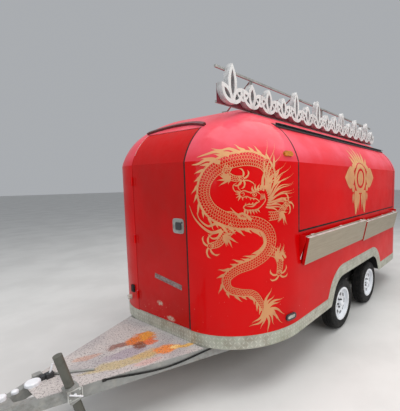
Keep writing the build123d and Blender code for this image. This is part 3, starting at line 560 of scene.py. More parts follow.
class Heap:
    """Points and faces of many small forms joined in one piece."""

    def __init__(self):
        self.points = []
        self.faces = []

    def add(self, points, faces):
        base = len(self.points)
        self.points += points
        self.faces += [tuple(base + i for i in face) for face in faces]

    def box(self, low, high):
        """Box between two opposite corners."""
        rows = [(y, z) for z in (low[2], high[2]) for y in (low[1], high[1])]
        corners = [Vector((x, y, z)) for y, z in rows for x in (low[0], high[0])]
        sides = [(0, 2, 3, 1), (4, 5, 7, 6), (0, 1, 5, 4), (1, 3, 7, 5), (3, 2, 6, 7), (2, 0, 4, 6)]
        self.add(corners, sides)

    def rings(self, points, count):
        """Closed form through rings of count points each, its ends flat."""
        last = len(points) - count
        faces = [face for row in range(0, last, count) for face in wall(count, row, row + count)]
        self.add(points, faces + [tuple(reversed(range(count))), tuple(range(last, len(points)))])

    def turned(self, foot, axis, profile, count):
        """Form turned round an axis from a profile of (radius, height) pairs."""
        side = axis.orthogonal().normalized()
        other = axis.cross(side).normalized()
        points = []
        for radius, height in profile:
            points += [foot + axis * height + spoke_of(side, other, k, count) * radius for k in range(count)]
        self.rings(points, count)

    def tube(self, line, radii, count):
        """Round tube along a line of points, with a radius at each."""
        points = []
        side = None
        for index, point in enumerate(line):
            ahead = (line[min(index + 1, len(line) - 1)] - line[max(index - 1, 0)]).normalized()
            side = ahead.orthogonal() if side is None else side - ahead * side.dot(ahead)
            side = side.normalized()
            other = ahead.cross(side)
            points += [point + spoke_of(side, other, k, count) * radii[index] for k in range(count)]
        self.rings(points, count)

    def shell(self, points, closed):
        """Bar of four sides between four runs of points: outer and inner, near and then far."""
        count = len(points) // 4
        near_outer, near_inner, far_outer, far_inner = (k * count for k in range(4))
        faces = wall(count, far_outer, far_inner, closed) + wall(count, near_inner, near_outer, closed)
        faces += wall(count, near_outer, far_outer, closed) + wall(count, far_inner, near_inner, closed)
        if not closed:
            last = count - 1
            faces.append((near_outer, near_inner, far_inner, far_outer))
            faces.append((near_outer + last, far_outer + last, far_inner + last, near_inner + last))
        self.add(points, faces)

    def band(self, outer, inner, place, near, far, closed=True):
        """Flat band between an outer and an inner line, given a depth by place(u, v, depth)."""
        points = [place(u, v, depth) for depth in (near, far) for line in (outer, inner) for u, v in line]
        self.shell(points, closed)

    def columns(self, rows, place, near, far):
        """Plate whose columns are (u, low, high), given a depth by place(u, v, depth)."""
        low_line, high_line = ([(row[0], row[edge]) for row in rows] for edge in (1, 2))
        self.band(low_line, high_line, place, near, far, False)

    def strip(self, line, normals, across, near, far):
        """Bar of oblong section along a line: across is half its width as a vector."""
        sides = [[point + across for point in line], [point - across for point in line]]
        points = [p + n * depth for depth in (near, far) for side in sides for p, n in zip(side, normals)]
        self.shell(points, False)

    def make(self, name, body, slot, material=None, replaces=None):
        piece(name, self.points, self.faces, body, slot, material, replaces=replaces)


def skin_of(*names):
    """Surface of some CAD nodes, to lay pieces on."""
    points = []
    faces = []
    for name in names:
        base = len(points)
        mesh = nodes[name].data
        points += [vertex.co.copy() for vertex in mesh.vertices]
        faces += [[base + index for index in face.vertices] for face in mesh.polygons]
    return BVHTree.FromPolygons(points, faces)


def lay(skin, origin, direction, lift):
    """Point over the surface that a ray meets, and the surface's outward normal there."""
    hit, normal, _, _ = skin.ray_cast(origin, direction, 3.0)
    if hit is None:
        return None, None
    if normal.dot(direction) > 0:
        normal = -normal
    return hit + normal * lift, normal


body_skin = skin_of(*body_names)


def corner_place(u, z, lift):
    """Point on the serving side's front corner, u metres round it from the front wall."""
    angle = min(max(u / corner_radius, 0), pi / 2)
    out = Vector((cos(angle), sin(angle), 0))
    along = Vector((-sin(angle), cos(angle), 0)) * (u - angle * corner_radius)
    origin = Vector((corner_x, corner_y, z)) + out * (corner_radius + 0.1) + along
    return lay(body_skin, origin, -out, lift)[0]


hatch_low, hatch_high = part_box("hatch")
hatch_middle_x = (hatch_low.x + hatch_high.x) / 2
hatch_skin = skin_of("hatch")


def hatch_place(u, z, lift):
    """Point on the hatch, u metres forwards of its middle."""
    origin = Vector((hatch_middle_x + u, middle_y + half_width + 0.3, z))
    return lay(hatch_skin, origin, Vector((0, -1, 0)), lift)[0]


# Films: flat drawings laid on the body


def toward(angle):
    """Plane direction at an angle in degrees."""
    return Vector((cos(radians(angle)), sin(radians(angle))))


# Strips that cross lie at one of some lifts, so that no two share a plane
film_step = 0.00004
film_cycle = 12
# How far each film stands over the paint
dragon_lift = 0.0009
tape_lift = 0.0012
rosette_lift = 0.0018


class Film:
    """Thin film cut as strips in a plane and then laid on a surface."""

    def __init__(self, lift):
        self.points = []
        self.lifts = []
        self.faces = []
        self.count = 0
        self.lift = lift

    def ribbon(self, line, halves, across=1):
        """Strip along plane points, with a half width at each and quads across it."""
        lift = self.lift + film_step * (self.count % film_cycle)
        self.count += 1
        base = len(self.points)
        for index, point in enumerate(line):
            before = line[max(index - 1, 0)]
            after = line[min(index + 1, len(line) - 1)]
            run = Vector((after[0] - before[0], after[1] - before[1])).normalized()
            normal = Vector((-run.y, run.x))
            for column in range(across + 1):
                self.points.append(Vector(point) + normal * halves[index] * (2 * column / across - 1))
                self.lifts.append(lift)
        width = across + 1
        for index in range(len(line) - 1):
            for column in range(across):
                corner = base + index * width + column
                self.faces.append((corner, corner + width, corner + width + 1, corner + 1))

    def line(self, points, half, taper):
        """Smooth line of one width through points, thinner towards both ends with a taper."""
        path = smooth_line(points, 4)
        last = len(path) - 1
        self.ribbon(path, [half * (1 - taper * abs(2 * k / last - 1) ** 3) for k in range(last + 1)])

    def leaf(self, root, heading, length, half, bend=0.0, wave=0.0, steps=9, across=2):
        """Flame-shaped leaf from a root, its heading in degrees turning by bend and wave."""
        path = [Vector(root)]
        for k in range(1, steps + 1):
            t = k / steps
            path.append(path[-1] + toward(heading + bend * t + wave * sin(2 * pi * t)) * (length / steps))
        shares = [k / steps for k in range(steps)]
        halves = [half * (1 - t) ** 0.75 * (0.62 + 0.6 * sin(pi * min(t + 0.12, 1))) for t in shares]
        self.ribbon(path, halves + [0.0004], across)

    def ring(self, centre, radius_u, radius_z, half, steps):
        """Oval ring."""
        path = []
        for k in range(steps + 1):
            angle = radians(360 * k / steps)
            path.append(Vector((centre[0] + radius_u * cos(angle), centre[1] + radius_z * sin(angle))))
        self.ribbon(path, [half] * len(path))

    def disc(self, centre, radius, steps):
        """Round dot as a strip from side to side."""
        angles = [pi * k / steps for k in range(steps + 1)]
        path = [Vector((centre[0] - radius * cos(angle), centre[1])) for angle in angles]
        self.ribbon(path, [max(radius * sin(angle), 0.0003) for angle in angles], 2)

    def make(self, name, place, material, body, slot):
        """Lay the film by a function of plane coordinates and lift."""
        laid = [place(p[0], p[1], lift) for p, lift in zip(self.points, self.lifts)]
        faces = [face for face in self.faces if all(laid[index] is not None for index in face)]
        used = sorted({index for face in faces for index in face})
        order = {index: number for number, index in enumerate(used)}
        faces = [tuple(order[index] for index in face) for face in faces]
        piece(name, [laid[index] for index in used], faces, body, slot, material, smooth=True)


def smooth_line(points, per_span):
    """Points along a smooth curve through the given plane points."""
    line = [Vector(p) for p in points]
    ends = [line[0] * 2 - line[1]] + line + [line[-1] * 2 - line[-2]]
    path = []
    for k in range(1, len(ends) - 2):
        before, first, second, after = ends[k - 1:k + 3]
        for step in range(per_span):
            t = step / per_span
            linear = (second - before) * t
            square = (before * 2 - first * 5 + second * 4 - after) * t**2
            cube = (first * 3 - before - second * 3 + after) * t**3
            path.append((first * 2 + linear + square + cube) / 2)
    path.append(line[-1])
    return path


class Spine:
    """Smooth centre line that gives place, heading and side by a share of its length."""

    def __init__(self, points):
        self.path = smooth_line(points, 14)
        self.reach = [0.0]
        for first, second in zip(self.path, self.path[1:]):
            self.reach.append(self.reach[-1] + (second - first).length)
        self.length = self.reach[-1]

    def at(self, share):
        """Place and heading at a share of the length."""
        goal = min(max(share, 0), 1) * self.length
        index = 0
        while index < len(self.path) - 2 and self.reach[index + 1] < goal:
            index += 1
        span = self.reach[index + 1] - self.reach[index]
        t = (goal - self.reach[index]) / span
        place = self.path[index].lerp(self.path[index + 1], t)
        low = self.path[max(index - 1, 0)]
        high = self.path[min(index + 2, len(self.path) - 1)]
        return place, (high - low).normalized()


def right_of(heading):
    return Vector((heading.y, -heading.x))


def scaled_limb(film, spine, half_at, rows, scale_length, stroke, crest=0.0):
    """Limb or body: edge lines, and overlapping scales drawn as open arcs between them."""
    count = max(int(spine.length / scale_length), 4)
    edges = ([], [])
    for k in range(count * 2 + 1):
        share = k / (count * 2)
        place, heading = spine.at(share)
        for edge, way in zip(edges, (1, -1)):
            edge.append(place + right_of(heading) * half_at(share) * way)
    for edge in edges:
        film.ribbon(edge, [stroke * 1.5] * len(edge))
    angles = [pi * step / 6 for step in range(7)]
    halves = [stroke * (0.6 + 0.6 * sin(angle)) for angle in angles]
    breadth = 2 - 2 * crest
    for k in range(count):
        for row in range(rows):
            share = (k + (0.5 if row % 2 else 0.0)) / count
            place, heading = spine.at(share)
            side = right_of(heading)
            half = half_at(share)
            centre = place + side * half * (breadth * (row + 0.5) / rows - 1)
            across = half * breadth / rows / 2 * 1.05
            arc = []
            for angle in angles:
                arc.append(centre - side * cos(angle) * across + heading * sin(angle) * scale_length * 0.95)
            film.ribbon(arc, halves)


def claw(film, centre, heading, size):
    """Foot with four curved talons fanned round a heading in degrees."""
    film.ring(centre, size * 0.22, size * 0.22, size * 0.03, 14)
    for k in range(4):
        angle = heading + 150 * (k / 3 - 0.5)
        way = -1 if k < 2 else 1
        root = Vector(centre) + toward(angle) * size * 0.2
        toe = []
        halves = []
        for step in range(7):
            t = step / 6
            toe.append(root + toward(angle + way * 35 * t) * size * 0.55 * t)
            halves.append(size * (0.05 + 0.03 * sin(pi * step / 6)))
        film.ribbon(toe, halves)
        film.leaf(toe[-1], angle + way * 60, size * 0.42, size * 0.07, way * 70, 0, 6, 1)


def flame_tuft(film, root, heading, rng):
    """Fan of seven flame leaves from one place."""
    for k in range(7):
        share = k / 6 - 0.5
        reach = 0.115 * (1 - 0.35 * abs(share) * 2) * rng.uniform(0.85, 1.15)
        film.leaf(root, heading + 100 * share, reach, 0.012, rng.uniform(-30, 30), rng.uniform(18, 34))


# Centre line of the dragon's body from neck to tail: metres round the corner, and height
dragon_line = [
    (0.715, 1.700), (0.720, 1.795), (0.665, 1.878), (0.555, 1.915), (0.425, 1.900), (0.300, 1.848),
    (0.208, 1.755), (0.182, 1.640), (0.228, 1.535), (0.330, 1.462), (0.460, 1.422), (0.590, 1.412),
    (0.685, 1.355), (0.715, 1.262), (0.668, 1.165), (0.560, 1.098), (0.440, 1.055), (0.358, 0.985),
    (0.372, 0.900), (0.462, 0.868), (0.560, 0.852), (0.615, 0.785), (0.650, 0.715),
]
body_half_width = 0.058
head_place = Vector((0.595, 1.600))


def dragon_half(share):
    """Half width of the dragon's body along its length."""
    if share < 0.12:
        return body_half_width * (0.72 + 0.28 * share / 0.12)
    return body_half_width * (1 - 0.62 * max(share - 0.45, 0) / 0.55)


def dragon_body(film, spine, rng):
    """Scaled body with a solid crest on its right side and flames that sweep back from it."""
    scaled_limb(film, spine, dragon_half, 4, 0.021, 0.0015, crest=0.13)
    crest = []
    halves = []
    for k in range(61):
        share = k / 60
        place, heading = spine.at(share)
        half = dragon_half(share)
        crest.append(place + right_of(heading) * half * 0.86)
        halves.append(half * 0.15 * (0.8 + 0.3 * sin(share * 90)))
    film.ribbon(crest, halves, 2)
    flames = 46
    for k in range(flames):
        share = (k + 0.4) / flames
        place, heading = spine.at(share)
        root = place + right_of(heading) * dragon_half(share) * 0.95
        back = degrees(atan2(heading.y, heading.x))
        reach = (0.062 if k % 2 else 0.094) * rng.uniform(0.8, 1.2)
        if share < 0.42:
            reach *= 1.15
        film.leaf(root, back - 52, reach, 0.0105, 40, rng.uniform(8, 26))


# Lines of the head in profile. Columns: points, half width, taper, in head units
head_unit = 0.0125
head_lines = [
    (
        [(8, 6), (5, 7.2), (2, 6.4), (-1, 4.6), (-4, 4.4), (-7, 5.4), (-9.4, 4.4), (-9.6, 2.4), (-8, 1.2)],
        0.34, 0.2,
    ),
    ([(-8, 1.2), (-5.5, 1.8), (-3, 0.8), (0, 0.4), (2.5, -1.4)], 0.3, 0.2),
    (
        [(2.5, -1.4), (-1, -3), (-5, -3.2), (-7.4, -4.4), (-6.6, -6.2), (-3, -6.8), (1.5, -6), (5, -3)],
        0.32, 0.2,
    ),
    ([(5, -3), (6.4, -0.5), (5.4, 2)], 0.28, 0.3),
    ([(-8.6, 3.6), (-7.4, 4.1), (-6.9, 3), (-7.9, 2.4)], 0.24, 0.3),
]
brow = ([(-3.2, 3.4), (-1.5, 4.4), (1, 4.5), (2.8, 3.2)], 0.32, 0.6)
whiskers = [
    ([(-8.6, 4.8), (-10.6, 7.6), (-9, 10.8), (-5, 11.6), (-1.4, 10), (-0.4, 8)], 0.32, 0.8),
    ([(-9.4, 3.8), (-12.6, 5.2), (-13.6, 8.4), (-11, 10.4)], 0.28, 0.8),
]
# Teeth. Columns: root, length, heading, half width, bend
teeth = [
    ((-8, 1.1), 1.8, -96, 0.42, 20), ((-5.8, 1.6), 1.2, -96, 0.42, 20), ((-3.2, 0.8), 1.5, -96, 0.42, 20),
    ((-1.2, 0.4), 1.1, -96, 0.42, 20), ((-6.4, -3.7), 1.7, 86, 0.4, -20), ((-4.2, -3.1), 1.1, 86, 0.4, -20),
    ((-2, -2.9), 1.3, 86, 0.4, -20),
]


def dragon_head(film, rng):
    """Head in profile: jaws, teeth, eye, brow, horns, whiskers, beard and mane."""
    unit = head_unit

    def spot(x, y):
        return head_place + Vector((x, y)) * unit

    def stroke(points, half, taper):
        film.line([spot(*p) for p in points], half * unit, taper)

    def flame(x, y, heading, length, half, *bends):
        film.leaf(spot(x, y), heading, length * unit, half * unit, *bends)

    for line in head_lines:
        stroke(*line)
    film.ring(spot(-0.6, 2.9), 1.25 * unit, 1.05 * unit, 0.2 * unit, 16)
    film.disc(spot(-0.8, 2.9), 0.5 * unit, 8)
    stroke(*brow)
    for root, length, heading, half, bend in teeth:
        flame(*root, heading, length, half, bend, 0, 4, 1)
    flame(1, -2, 188, 8.5, 0.55, 24, 34)
    for k in range(4):
        stroke([(2.6 + k * 0.8, -1 + k * 0.3), (3.6 + k * 0.8, 1.4), (3.0 + k * 0.8, 3.4)], 0.2, 0.7)
    for k in range(5):
        flame(-1 + 1.5 * k, 5 + 0.5 * (k % 2), 132 - 14 * k, 3.6 + 0.7 * k, 0.7, -46, 16)
    for k in range(6):
        flame(-6.6 + 1.5 * k, -6.3, 236 + 11 * k, 4.4 - 0.3 * k, 0.62, 42, 18)
    for k in range(4):
        flame(-9.4, 4.2 - 0.8 * k, 128 + 30 * k, 3.2, 0.5, 50, 14)
    flame(4, 6.6, 62, 15, 0.95, 30, 16, 12)
    flame(6.4, 6, 48, 13, 0.95, 30, 16, 12)
    for line in whiskers:
        stroke(*line)
    for k in range(9):
        share = k / 8
        length = 13 + 10 * sin(pi * min(share * 1.1, 1))
        flame(6.6 + 1.6 * sin(pi * share), -5 + 11 * share, -32 + 112 * share, length, 0.6,
              16 - 34 * share, rng.uniform(10, 24), 12, 3)
    for k in range(11):
        share = k / 10
        length = 18 + 13 * share + rng.uniform(-2, 3)
        flame(7.4 + 1.8 * sin(pi * share), -5 + 12 * share, -20 + 108 * share, length, 0.5,
              22 - 30 * share, rng.uniform(14, 30), 14, 2)


def dragon_legs(film, rng):
    """Four scaled legs, each with a claw and flames at the joint."""
    # Columns: points of the leg, half width, claw heading, claw size, flame heading
    legs = [
        ([(0.400, 1.865), (0.375, 1.800), (0.430, 1.762), (0.490, 1.760)], 0.026, -20, 0.085, 205),
        ([(0.430, 1.400), (0.360, 1.330), (0.300, 1.262), (0.232, 1.238)], 0.032, 198, 0.105, -20),
        ([(0.700, 1.462), (0.790, 1.470), (0.840, 1.520), (0.880, 1.556)], 0.030, 40, 0.098, -60),
        ([(0.700, 1.190), (0.770, 1.150), (0.800, 1.075), (0.790, 0.990)], 0.034, -84, 0.100, 72),
    ]
    for points, half, heading, size, flame_heading in legs:
        spine = Spine(points)
        scaled_limb(film, spine, lambda share: half * (1.15 - 0.5 * share), 3, 0.017, 0.0019)
        claw(film, spine.at(1)[0], heading, size)
        flame_tuft(film, spine.at(0.5)[0], flame_heading, rng)
    for k in range(4):
        film.leaf((0.775 + 0.028 * k, 1.085 + 0.02 * (k % 2)), 84 + 5 * k, 0.135, 0.0115, 0, 30, 10)


def dragon_tail(film, rng):
    """Flame tuft at the tail's end."""
    root = Vector((0.655, 0.705))
    film.ring(root, 0.022, 0.018, 0.0022, 14)
    for k in range(12):
        angle = 62 - 205 * k / 11
        reach = 0.225 - 0.05 * (k % 2) - 0.03 * abs(k - 6) / 6
        film.leaf(root, angle, reach, 0.0135, rng.uniform(-26, 26), rng.uniform(20, 32), 12, 3)


def dragon_streamers(film):
    """Long flame ribbons that trail from the shoulder and the legs."""
    # Columns: points, half width
    streamers = [
        ([(0.330, 1.365), (0.250, 1.345), (0.170, 1.385), (0.090, 1.462), (0.042, 1.556)], 0.013),
        ([(0.350, 1.395), (0.285, 1.415), (0.220, 1.395), (0.150, 1.440), (0.118, 1.500)], 0.012),
        ([(0.330, 1.365), (0.300, 1.310), (0.250, 1.300), (0.215, 1.335)], 0.011),
        ([(0.560, 1.440), (0.500, 1.490), (0.452, 1.488), (0.400, 1.540)], 0.012),
        ([(0.520, 1.450), (0.470, 1.462), (0.430, 1.500), (0.360, 1.510)], 0.010),
        ([(0.330, 1.880), (0.230, 1.905), (0.150, 1.875), (0.085, 1.868)], 0.016),
        ([(0.400, 1.935), (0.300, 1.965), (0.210, 1.945), (0.130, 1.925)], 0.015),
        ([(0.480, 1.955), (0.400, 1.985), (0.330, 1.975), (0.250, 1.990)], 0.013),
    ]
    for points, half in streamers:
        path = smooth_line(points, 7)
        last = len(path) - 1
        film.ribbon(path, [half * (1 - k / last) ** 0.7 + 0.0006 for k in range(last + 1)], 2)


def make_dragon():
    """Dragon in gold film round the serving side's front corner."""
    rng = Random(7)
    film = Film(dragon_lift)
    dragon_body(film, Spine(dragon_line), rng)
    dragon_head(film, rng)
    dragon_legs(film, rng)
    dragon_tail(film, rng)
    dragon_streamers(film)
    film.make("dragon_film", corner_place, gold, "trailer", "red_body")


def petal(film, centre, heading, length, half):
    """Filled pointed petal."""
    steps = 10
    path = [Vector(centre) + toward(heading) * length * k / steps for k in range(steps + 1)]
    film.ribbon(path, [max(half * sin(pi * (k / steps) ** 0.8), 0.0006) for k in range(steps + 1)], 3)


def make_rosette():
    """Oval rosette on the hatch: disc, ring, side petals, leaves below and a fan above."""
    film = Film(rosette_lift)
    centre = Vector((0.02, 1.765))

    def spot(u, z):
        return centre + Vector((u, z))

    film.disc(centre, 0.092, 28)
    for k in range(3):
        film.ring(centre, 0.143 + 0.019 * k, 0.133 + 0.019 * k, 0.0105, 40)
    for way in (1, -1):
        petal(film, spot(way * 0.190, 0.01), 0 if way > 0 else 180, 0.300, 0.130)
        film.leaf(spot(way * 0.120, -0.150), 270 + way * 4, 0.345, 0.082, way * 6, 0, 12, 6)
        petal(film, spot(way * 0.235, -0.175), 270 + way * 4, 0.120, 0.026)
        film.disc(spot(way * 0.235, -0.120), 0.044, 18)
        film.disc(spot(way * 0.235, 0.130), 0.040, 18)
        film.leaf(spot(way * 0.036, -0.195), 270 + way * 7, 0.215, 0.024, 0, 0, 9, 3)
    for k in range(7):
        angle = 90 + (k - 3) * 15
        root = spot(0.205 * cos(radians(angle)) * 1.1, 0.192 * sin(radians(angle)))
        film.leaf(root, angle, 0.225 if k % 2 else 0.185, 0.033, 0, 0, 9, 3)
    film.make("rosette_film", hatch_place, gold, "hatch", "red_body")


# Checker plate skirt and its bars

bar_pitch = 0.034
bar_length = 0.034
bar_half_width = 0.0052
bar_rise = 0.0016
skirt_thickness = 0.0024
skirt_rim = skirt_top - 0.006
straight_x = (front_x - rear_x) - 2 * corner_radius
straight_y = 2 * half_width - 2 * corner_radius
round_trip = 2 * (straight_x + straight_y) + 4 * corner_arc
front_axle_x = front_x - 1.730
rear_axle_x = front_axle_x - 0.926
arch_height = 0.672
arch_reach = {1: (front_axle_x, 0.400), -1: (rear_axle_x, 0.296)}
arch_lean = 0.150
arch_radius = 0.270
arch_band = 0.130


def arch_top(x, grow):
    """Height of the wheel arch's line at a place, moved outwards by grow."""
    way = 1 if x > (front_axle_x + rear_axle_x) / 2 else -1
    axle_x, reach = arch_reach[way]
    foot = axle_x + way * reach
    rise = arch_height - body_bottom
    length = sqrt(rise**2 + arch_lean**2)
    lean_x = rise / length
    lean_z = arch_lean / length
    centre_z = arch_height - arch_radius
    past = way * (x - foot)
    centre = -(arch_radius + lean_z * (centre_z - body_bottom)) / lean_x
    if past <= centre:
        return arch_height + grow
    radius = arch_radius + grow
    if past <= centre + radius * lean_x:
        return centre_z + sqrt(radius**2 - (past - centre) ** 2)
    return body_bottom + (grow - lean_x * past) / lean_z


def plan_point(distance):
    """Point and outward direction on the skirt's outline, by distance round it."""
    heading = pi / 2
    place = Vector((front_x, middle_y - straight_y / 2))
    left = distance
    for index, span in enumerate([straight_y, corner_arc, straight_x, corner_arc] * 2):
        length = min(left, span)
        if index % 2 == 0:
            place = place + Vector((cos(heading), sin(heading))) * length
        else:
            centre = place + Vector((-sin(heading), cos(heading))) * corner_radius
            heading += length / corner_radius
            place = centre + Vector((sin(heading), -cos(heading))) * corner_radius
        left -= length
        if left <= 0:
            break
    return place, Vector((sin(heading), -cos(heading)))


def skirt_point(u, z, depth):
    place, out = plan_point(u)
    return Vector((place.x + out.x * depth, place.y + out.y * depth, z))


def make_skirt():
    """Plate round the foot of the body, carried over the arches, with its raised bars."""
    side_starts = [straight_y + corner_arc, 2 * straight_y + straight_x + 3 * corner_arc]
    places = [round_trip * k / 600 for k in range(601)]
    for start in side_starts:
        places += [start + 0.15 + 0.006 * k for k in range(400)]
    plate = Heap()
    rows = []
    for u in sorted(places):
        row = (u, body_bottom, skirt_rim)
        if any(start <= u <= start + straight_x for start in side_starts):
            x = plan_point(u)[0].x
            row = (u, max(arch_top(x, 0), body_bottom), max(arch_top(x, arch_band), skirt_rim))
        rows.append(row)
    plate.columns(rows, skirt_point, 0.0002, skirt_thickness)
    skin = BVHTree.FromPolygons(plate.points, plate.faces)
    plate.make("skirt_plate", "trailer", "checker_plate", replaces="skirt_band")
    heap = Heap()
    columns = int(round_trip / bar_pitch)
    row_count = int((arch_height + arch_band - body_bottom) / bar_pitch) + 1
    for column in range(columns):
        place, out = plan_point(column * round_trip / columns)
        along = Vector((-out.y, out.x, 0))
        outward = Vector((out.x, out.y, 0))
        for row in range(row_count):
            height = body_bottom + bar_pitch * (row + 0.5)
            centre = Vector((place.x, place.y, height)) + outward * skirt_thickness
            way = 1 if (row + column) % 2 else -1
            long_way = (along * 0.8 + Vector((0, 0, way))).normalized() * bar_length / 2
            short_way = long_way.cross(outward).normalized() * bar_half_width
            corners = [centre + long_way, centre + short_way, centre - long_way, centre - short_way]
            if any(skin.ray_cast(corner + outward * 0.05, -outward, 0.054)[0] is None for corner in corners):
                continue
            ridge = [centre + long_way * end + outward * bar_rise for end in (0.6, -0.6)]
            foot = [corner - outward * 0.0004 for corner in corners]
            heap.add(foot + ridge, [(0, 1, 4), (1, 2, 5, 4), (2, 3, 5), (3, 0, 4, 5)])
    heap.make("skirt_bars", "trailer", "checker_plate", bar_metal)


# Roof sign: a band of outlined flowers on a lobed board, carried by rails, posts and stays

sign_y = middle_y + 0.500
sign_front_x = front_x - 0.240
sign_rear_x = front_x - 4.050
sign_top = 2.716
sign_bottom = 2.388
sign_bar = 0.020
rail_drop = 0.042
post_inset = 0.060
stay_reach = 0.33
pad_half = 0.03
pad_rise = 0.012
flower_stroke = 0.030
flower_width = 0.104
side_petal_height = 0.196
side_petal_width = 0.100
side_petal_lean = radians(40)
link_reach = 0.055
link_sag = 0.050
link_top = 0.118
link_foot = 0.090
flower_depth = 0.060
backing_thickness = 0.005
backing_height = 0.150
lobe_radius = 0.090
flower_shares = (1, 0.66, 0.7, 0.63, 0.98, 0.67, 1, 0.64, 0.7, 0.96, 0.64, 0.9, 0.68, 0.97, 0.65)
flower_pitch = (sign_front_x - sign_rear_x) / len(flower_shares)
flower_places = [sign_front_x - (index + 0.5) * flower_pitch for index in range(len(flower_shares))]
backing_y = sign_y + sign_bar / 2


def petal_half(z, height, width):
    """Half the width of a pointed petal at a height over its foot."""
    bulge = width / 2
    radius = (height**2 / 4 + bulge**2) / (2 * bulge)
    return sqrt(max(radius**2 - (z - height / 2) ** 2, 0)) - (radius - bulge)


def petal_loops(height, width):
    """Outer and inner outline of a pointed petal, up one side and down the other."""
    loops = []
    for inset in (0, flower_stroke):
        tall = height - 3 * inset
        heights = [tall * k / 14 for k in range(15)]
        up = [(petal_half(z, tall, width - 2 * inset), 1.5 * inset + z) for z in heights]
        loops.append(up + [(-u, z) for u, z in reversed(up[1:-1])])
    return loops


def turned_loop(line, angle):
    return [(u * cos(angle) - v * sin(angle), u * sin(angle) + v * cos(angle)) for u, v in line]


def add_flower(heap, x, share, place):
    """Tall outlined petal over two that lean to its sides, their lines ending behind it."""
    height = share * (sign_top - sign_bottom)
    side_depth = flower_depth - 0.001

    def stand(u, v, depth):
        return place(x + u, sign_bottom + v, depth)

    heap.band(*petal_loops(height, flower_width), stand, 0, flower_depth)
    for angle in (side_petal_lean, -side_petal_lean):
        loops = petal_loops(side_petal_height, side_petal_width)
        outer, hole = (turned_loop(loop, angle) for loop in loops)
        count = len(outer)
        shown = []
        for (u, v), (hole_u, hole_v) in zip(outer, hole):
            edge = petal_half((v + hole_v) / 2, height, flower_width) - flower_stroke * 0.7
            shown.append(abs((u + hole_u) / 2) > edge)
        if all(shown):
            heap.band(outer, hole, stand, 0, side_depth)
            continue
        start = shown.index(False)
        run = []
        for k in range(start, start + count + 1):
            if shown[k % count]:
                run.append(k % count)
                continue
            if len(run) > 1:
                heap.band([outer[i] for i in run], [hole[i] for i in run], stand, 0, side_depth, False)
            run = []


def on_sign(base):
    """Place of a point of the sign, its depth counted from a plane along the trailer."""
    return lambda u, v, depth: Vector((u, base + depth, v))


def make_flowers():
    """Row of flowers, each joined to the next by a sagging link."""
    heap = Heap()
    stand = on_sign(backing_y + backing_thickness)
    for x, share in zip(flower_places, flower_shares):
        add_flower(heap, x, share, stand)
    for first, second in zip(flower_places, flower_places[1:]):
        outer = []
        hole = []
        for k in range(13):
            share = k / 12
            x = first - link_reach + (second + link_reach - first + link_reach) * share
            sag = link_sag * (1 - (2 * share - 1) ** 2)
            outer.append((x, sign_bottom + link_top - sag))
            hole.append((x, sign_bottom + link_foot - sag))
        heap.band(outer, hole, stand, 0, flower_depth - 0.003, False)
    heap.make("sign_flowers", "trailer", "sign_white", replaces="sign_scrolls")


def make_sign_board():
    """Board behind the flowers, with a lobe behind each."""
    foot = sign_bottom - 0.004
    lobe_z = foot + backing_height - lobe_radius / 2
    rows = []
    for k in range(421):
        x = sign_rear_x + (sign_front_x - sign_rear_x) * k / 420
        near = min(abs(x - centre) for centre in flower_places)
        lobe = lobe_z + sqrt(lobe_radius**2 - near**2) if near < lobe_radius else 0
        rows.append((x, foot, max(foot + backing_height, lobe)))
    heap = Heap()
    heap.columns(rows, on_sign(backing_y), 0, backing_thickness)
    heap.make("sign_board", "trailer", "sign_maroon", replaces="sign_backing")


def make_sign_rods():
    """Two rails along the sign, and posts and stays down to the roof, each stay on a pad."""
    rods = Heap()
    half = sign_bar / 2
    top_z = sign_top - rail_drop
    for z in (top_z, sign_bottom + 0.004):
        rods.box((sign_rear_x, sign_y - half, z - half), (sign_front_x, sign_y + half, z + half))
    first = front_x - corner_radius - post_inset
    last = rear_x + corner_radius + post_inset
    down = Vector((0, 0, -1))
    post_y = sign_y - sign_bar
    for k in range(5):
        x = first + (last - first) * k / 4
        roof_z = lay(body_skin, Vector((x, post_y, 3)), down, 0)[0].z
        rods.box((x - half, post_y - half, roof_z - 0.004), (x + half, post_y + half, top_z + half))
        back = lay(body_skin, Vector((x, post_y - stay_reach, 3)), down, -0.004)[0]
        line = [back, Vector((x, post_y - half, top_z))]
        rods.strip(line, [Vector((0, 0.7, 0.7))] * 2, Vector((half, 0, 0)), -half, half)
        low = (x - pad_half, back.y - pad_half, back.z - pad_rise)
        rods.box(low, (x + pad_half, back.y + pad_half, back.z + pad_rise))
    rods.make("sign_rods", "trailer", "galvanised", replaces="sign_frame")


# Seals, shelf ends, door rail and door furniture

shoulder_radius = 0.580
shoulder_in = shoulder_radius * cos(radians(15))
shoulder_z = belt_height - shoulder_radius * sin(radians(15))
door_low, door_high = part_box("door")
wall_y = middle_y + half_width
ahead_way = Vector((1, 0, 0))
side_way = Vector((0, 1, 0))
up_way = Vector((0, 0, 1))


def wall_profile(z):
    """Distance in from the wall and outward direction (out, up) of the body at a height."""
    if z <= belt_height:
        return 0.0, (1.0, 0.0)
    rise = z - shoulder_z
    reach = sqrt(shoulder_radius**2 - rise**2)
    return shoulder_in - reach, (reach / shoulder_radius, rise / shoulder_radius)


def wall_line(x, y, out, low, high):
    """Line up a wall from its foot and its outward directions; out is the level direction."""
    line = []
    normals = []
    for k in range(41):
        z = low + (high - low) * k / 40
        inset, (level, up) = wall_profile(z)
        line.append(Vector((x - out[0] * inset, y - out[1] * inset, z)))
        normals.append(Vector((out[0] * level, out[1] * level, up)))
    return line, normals


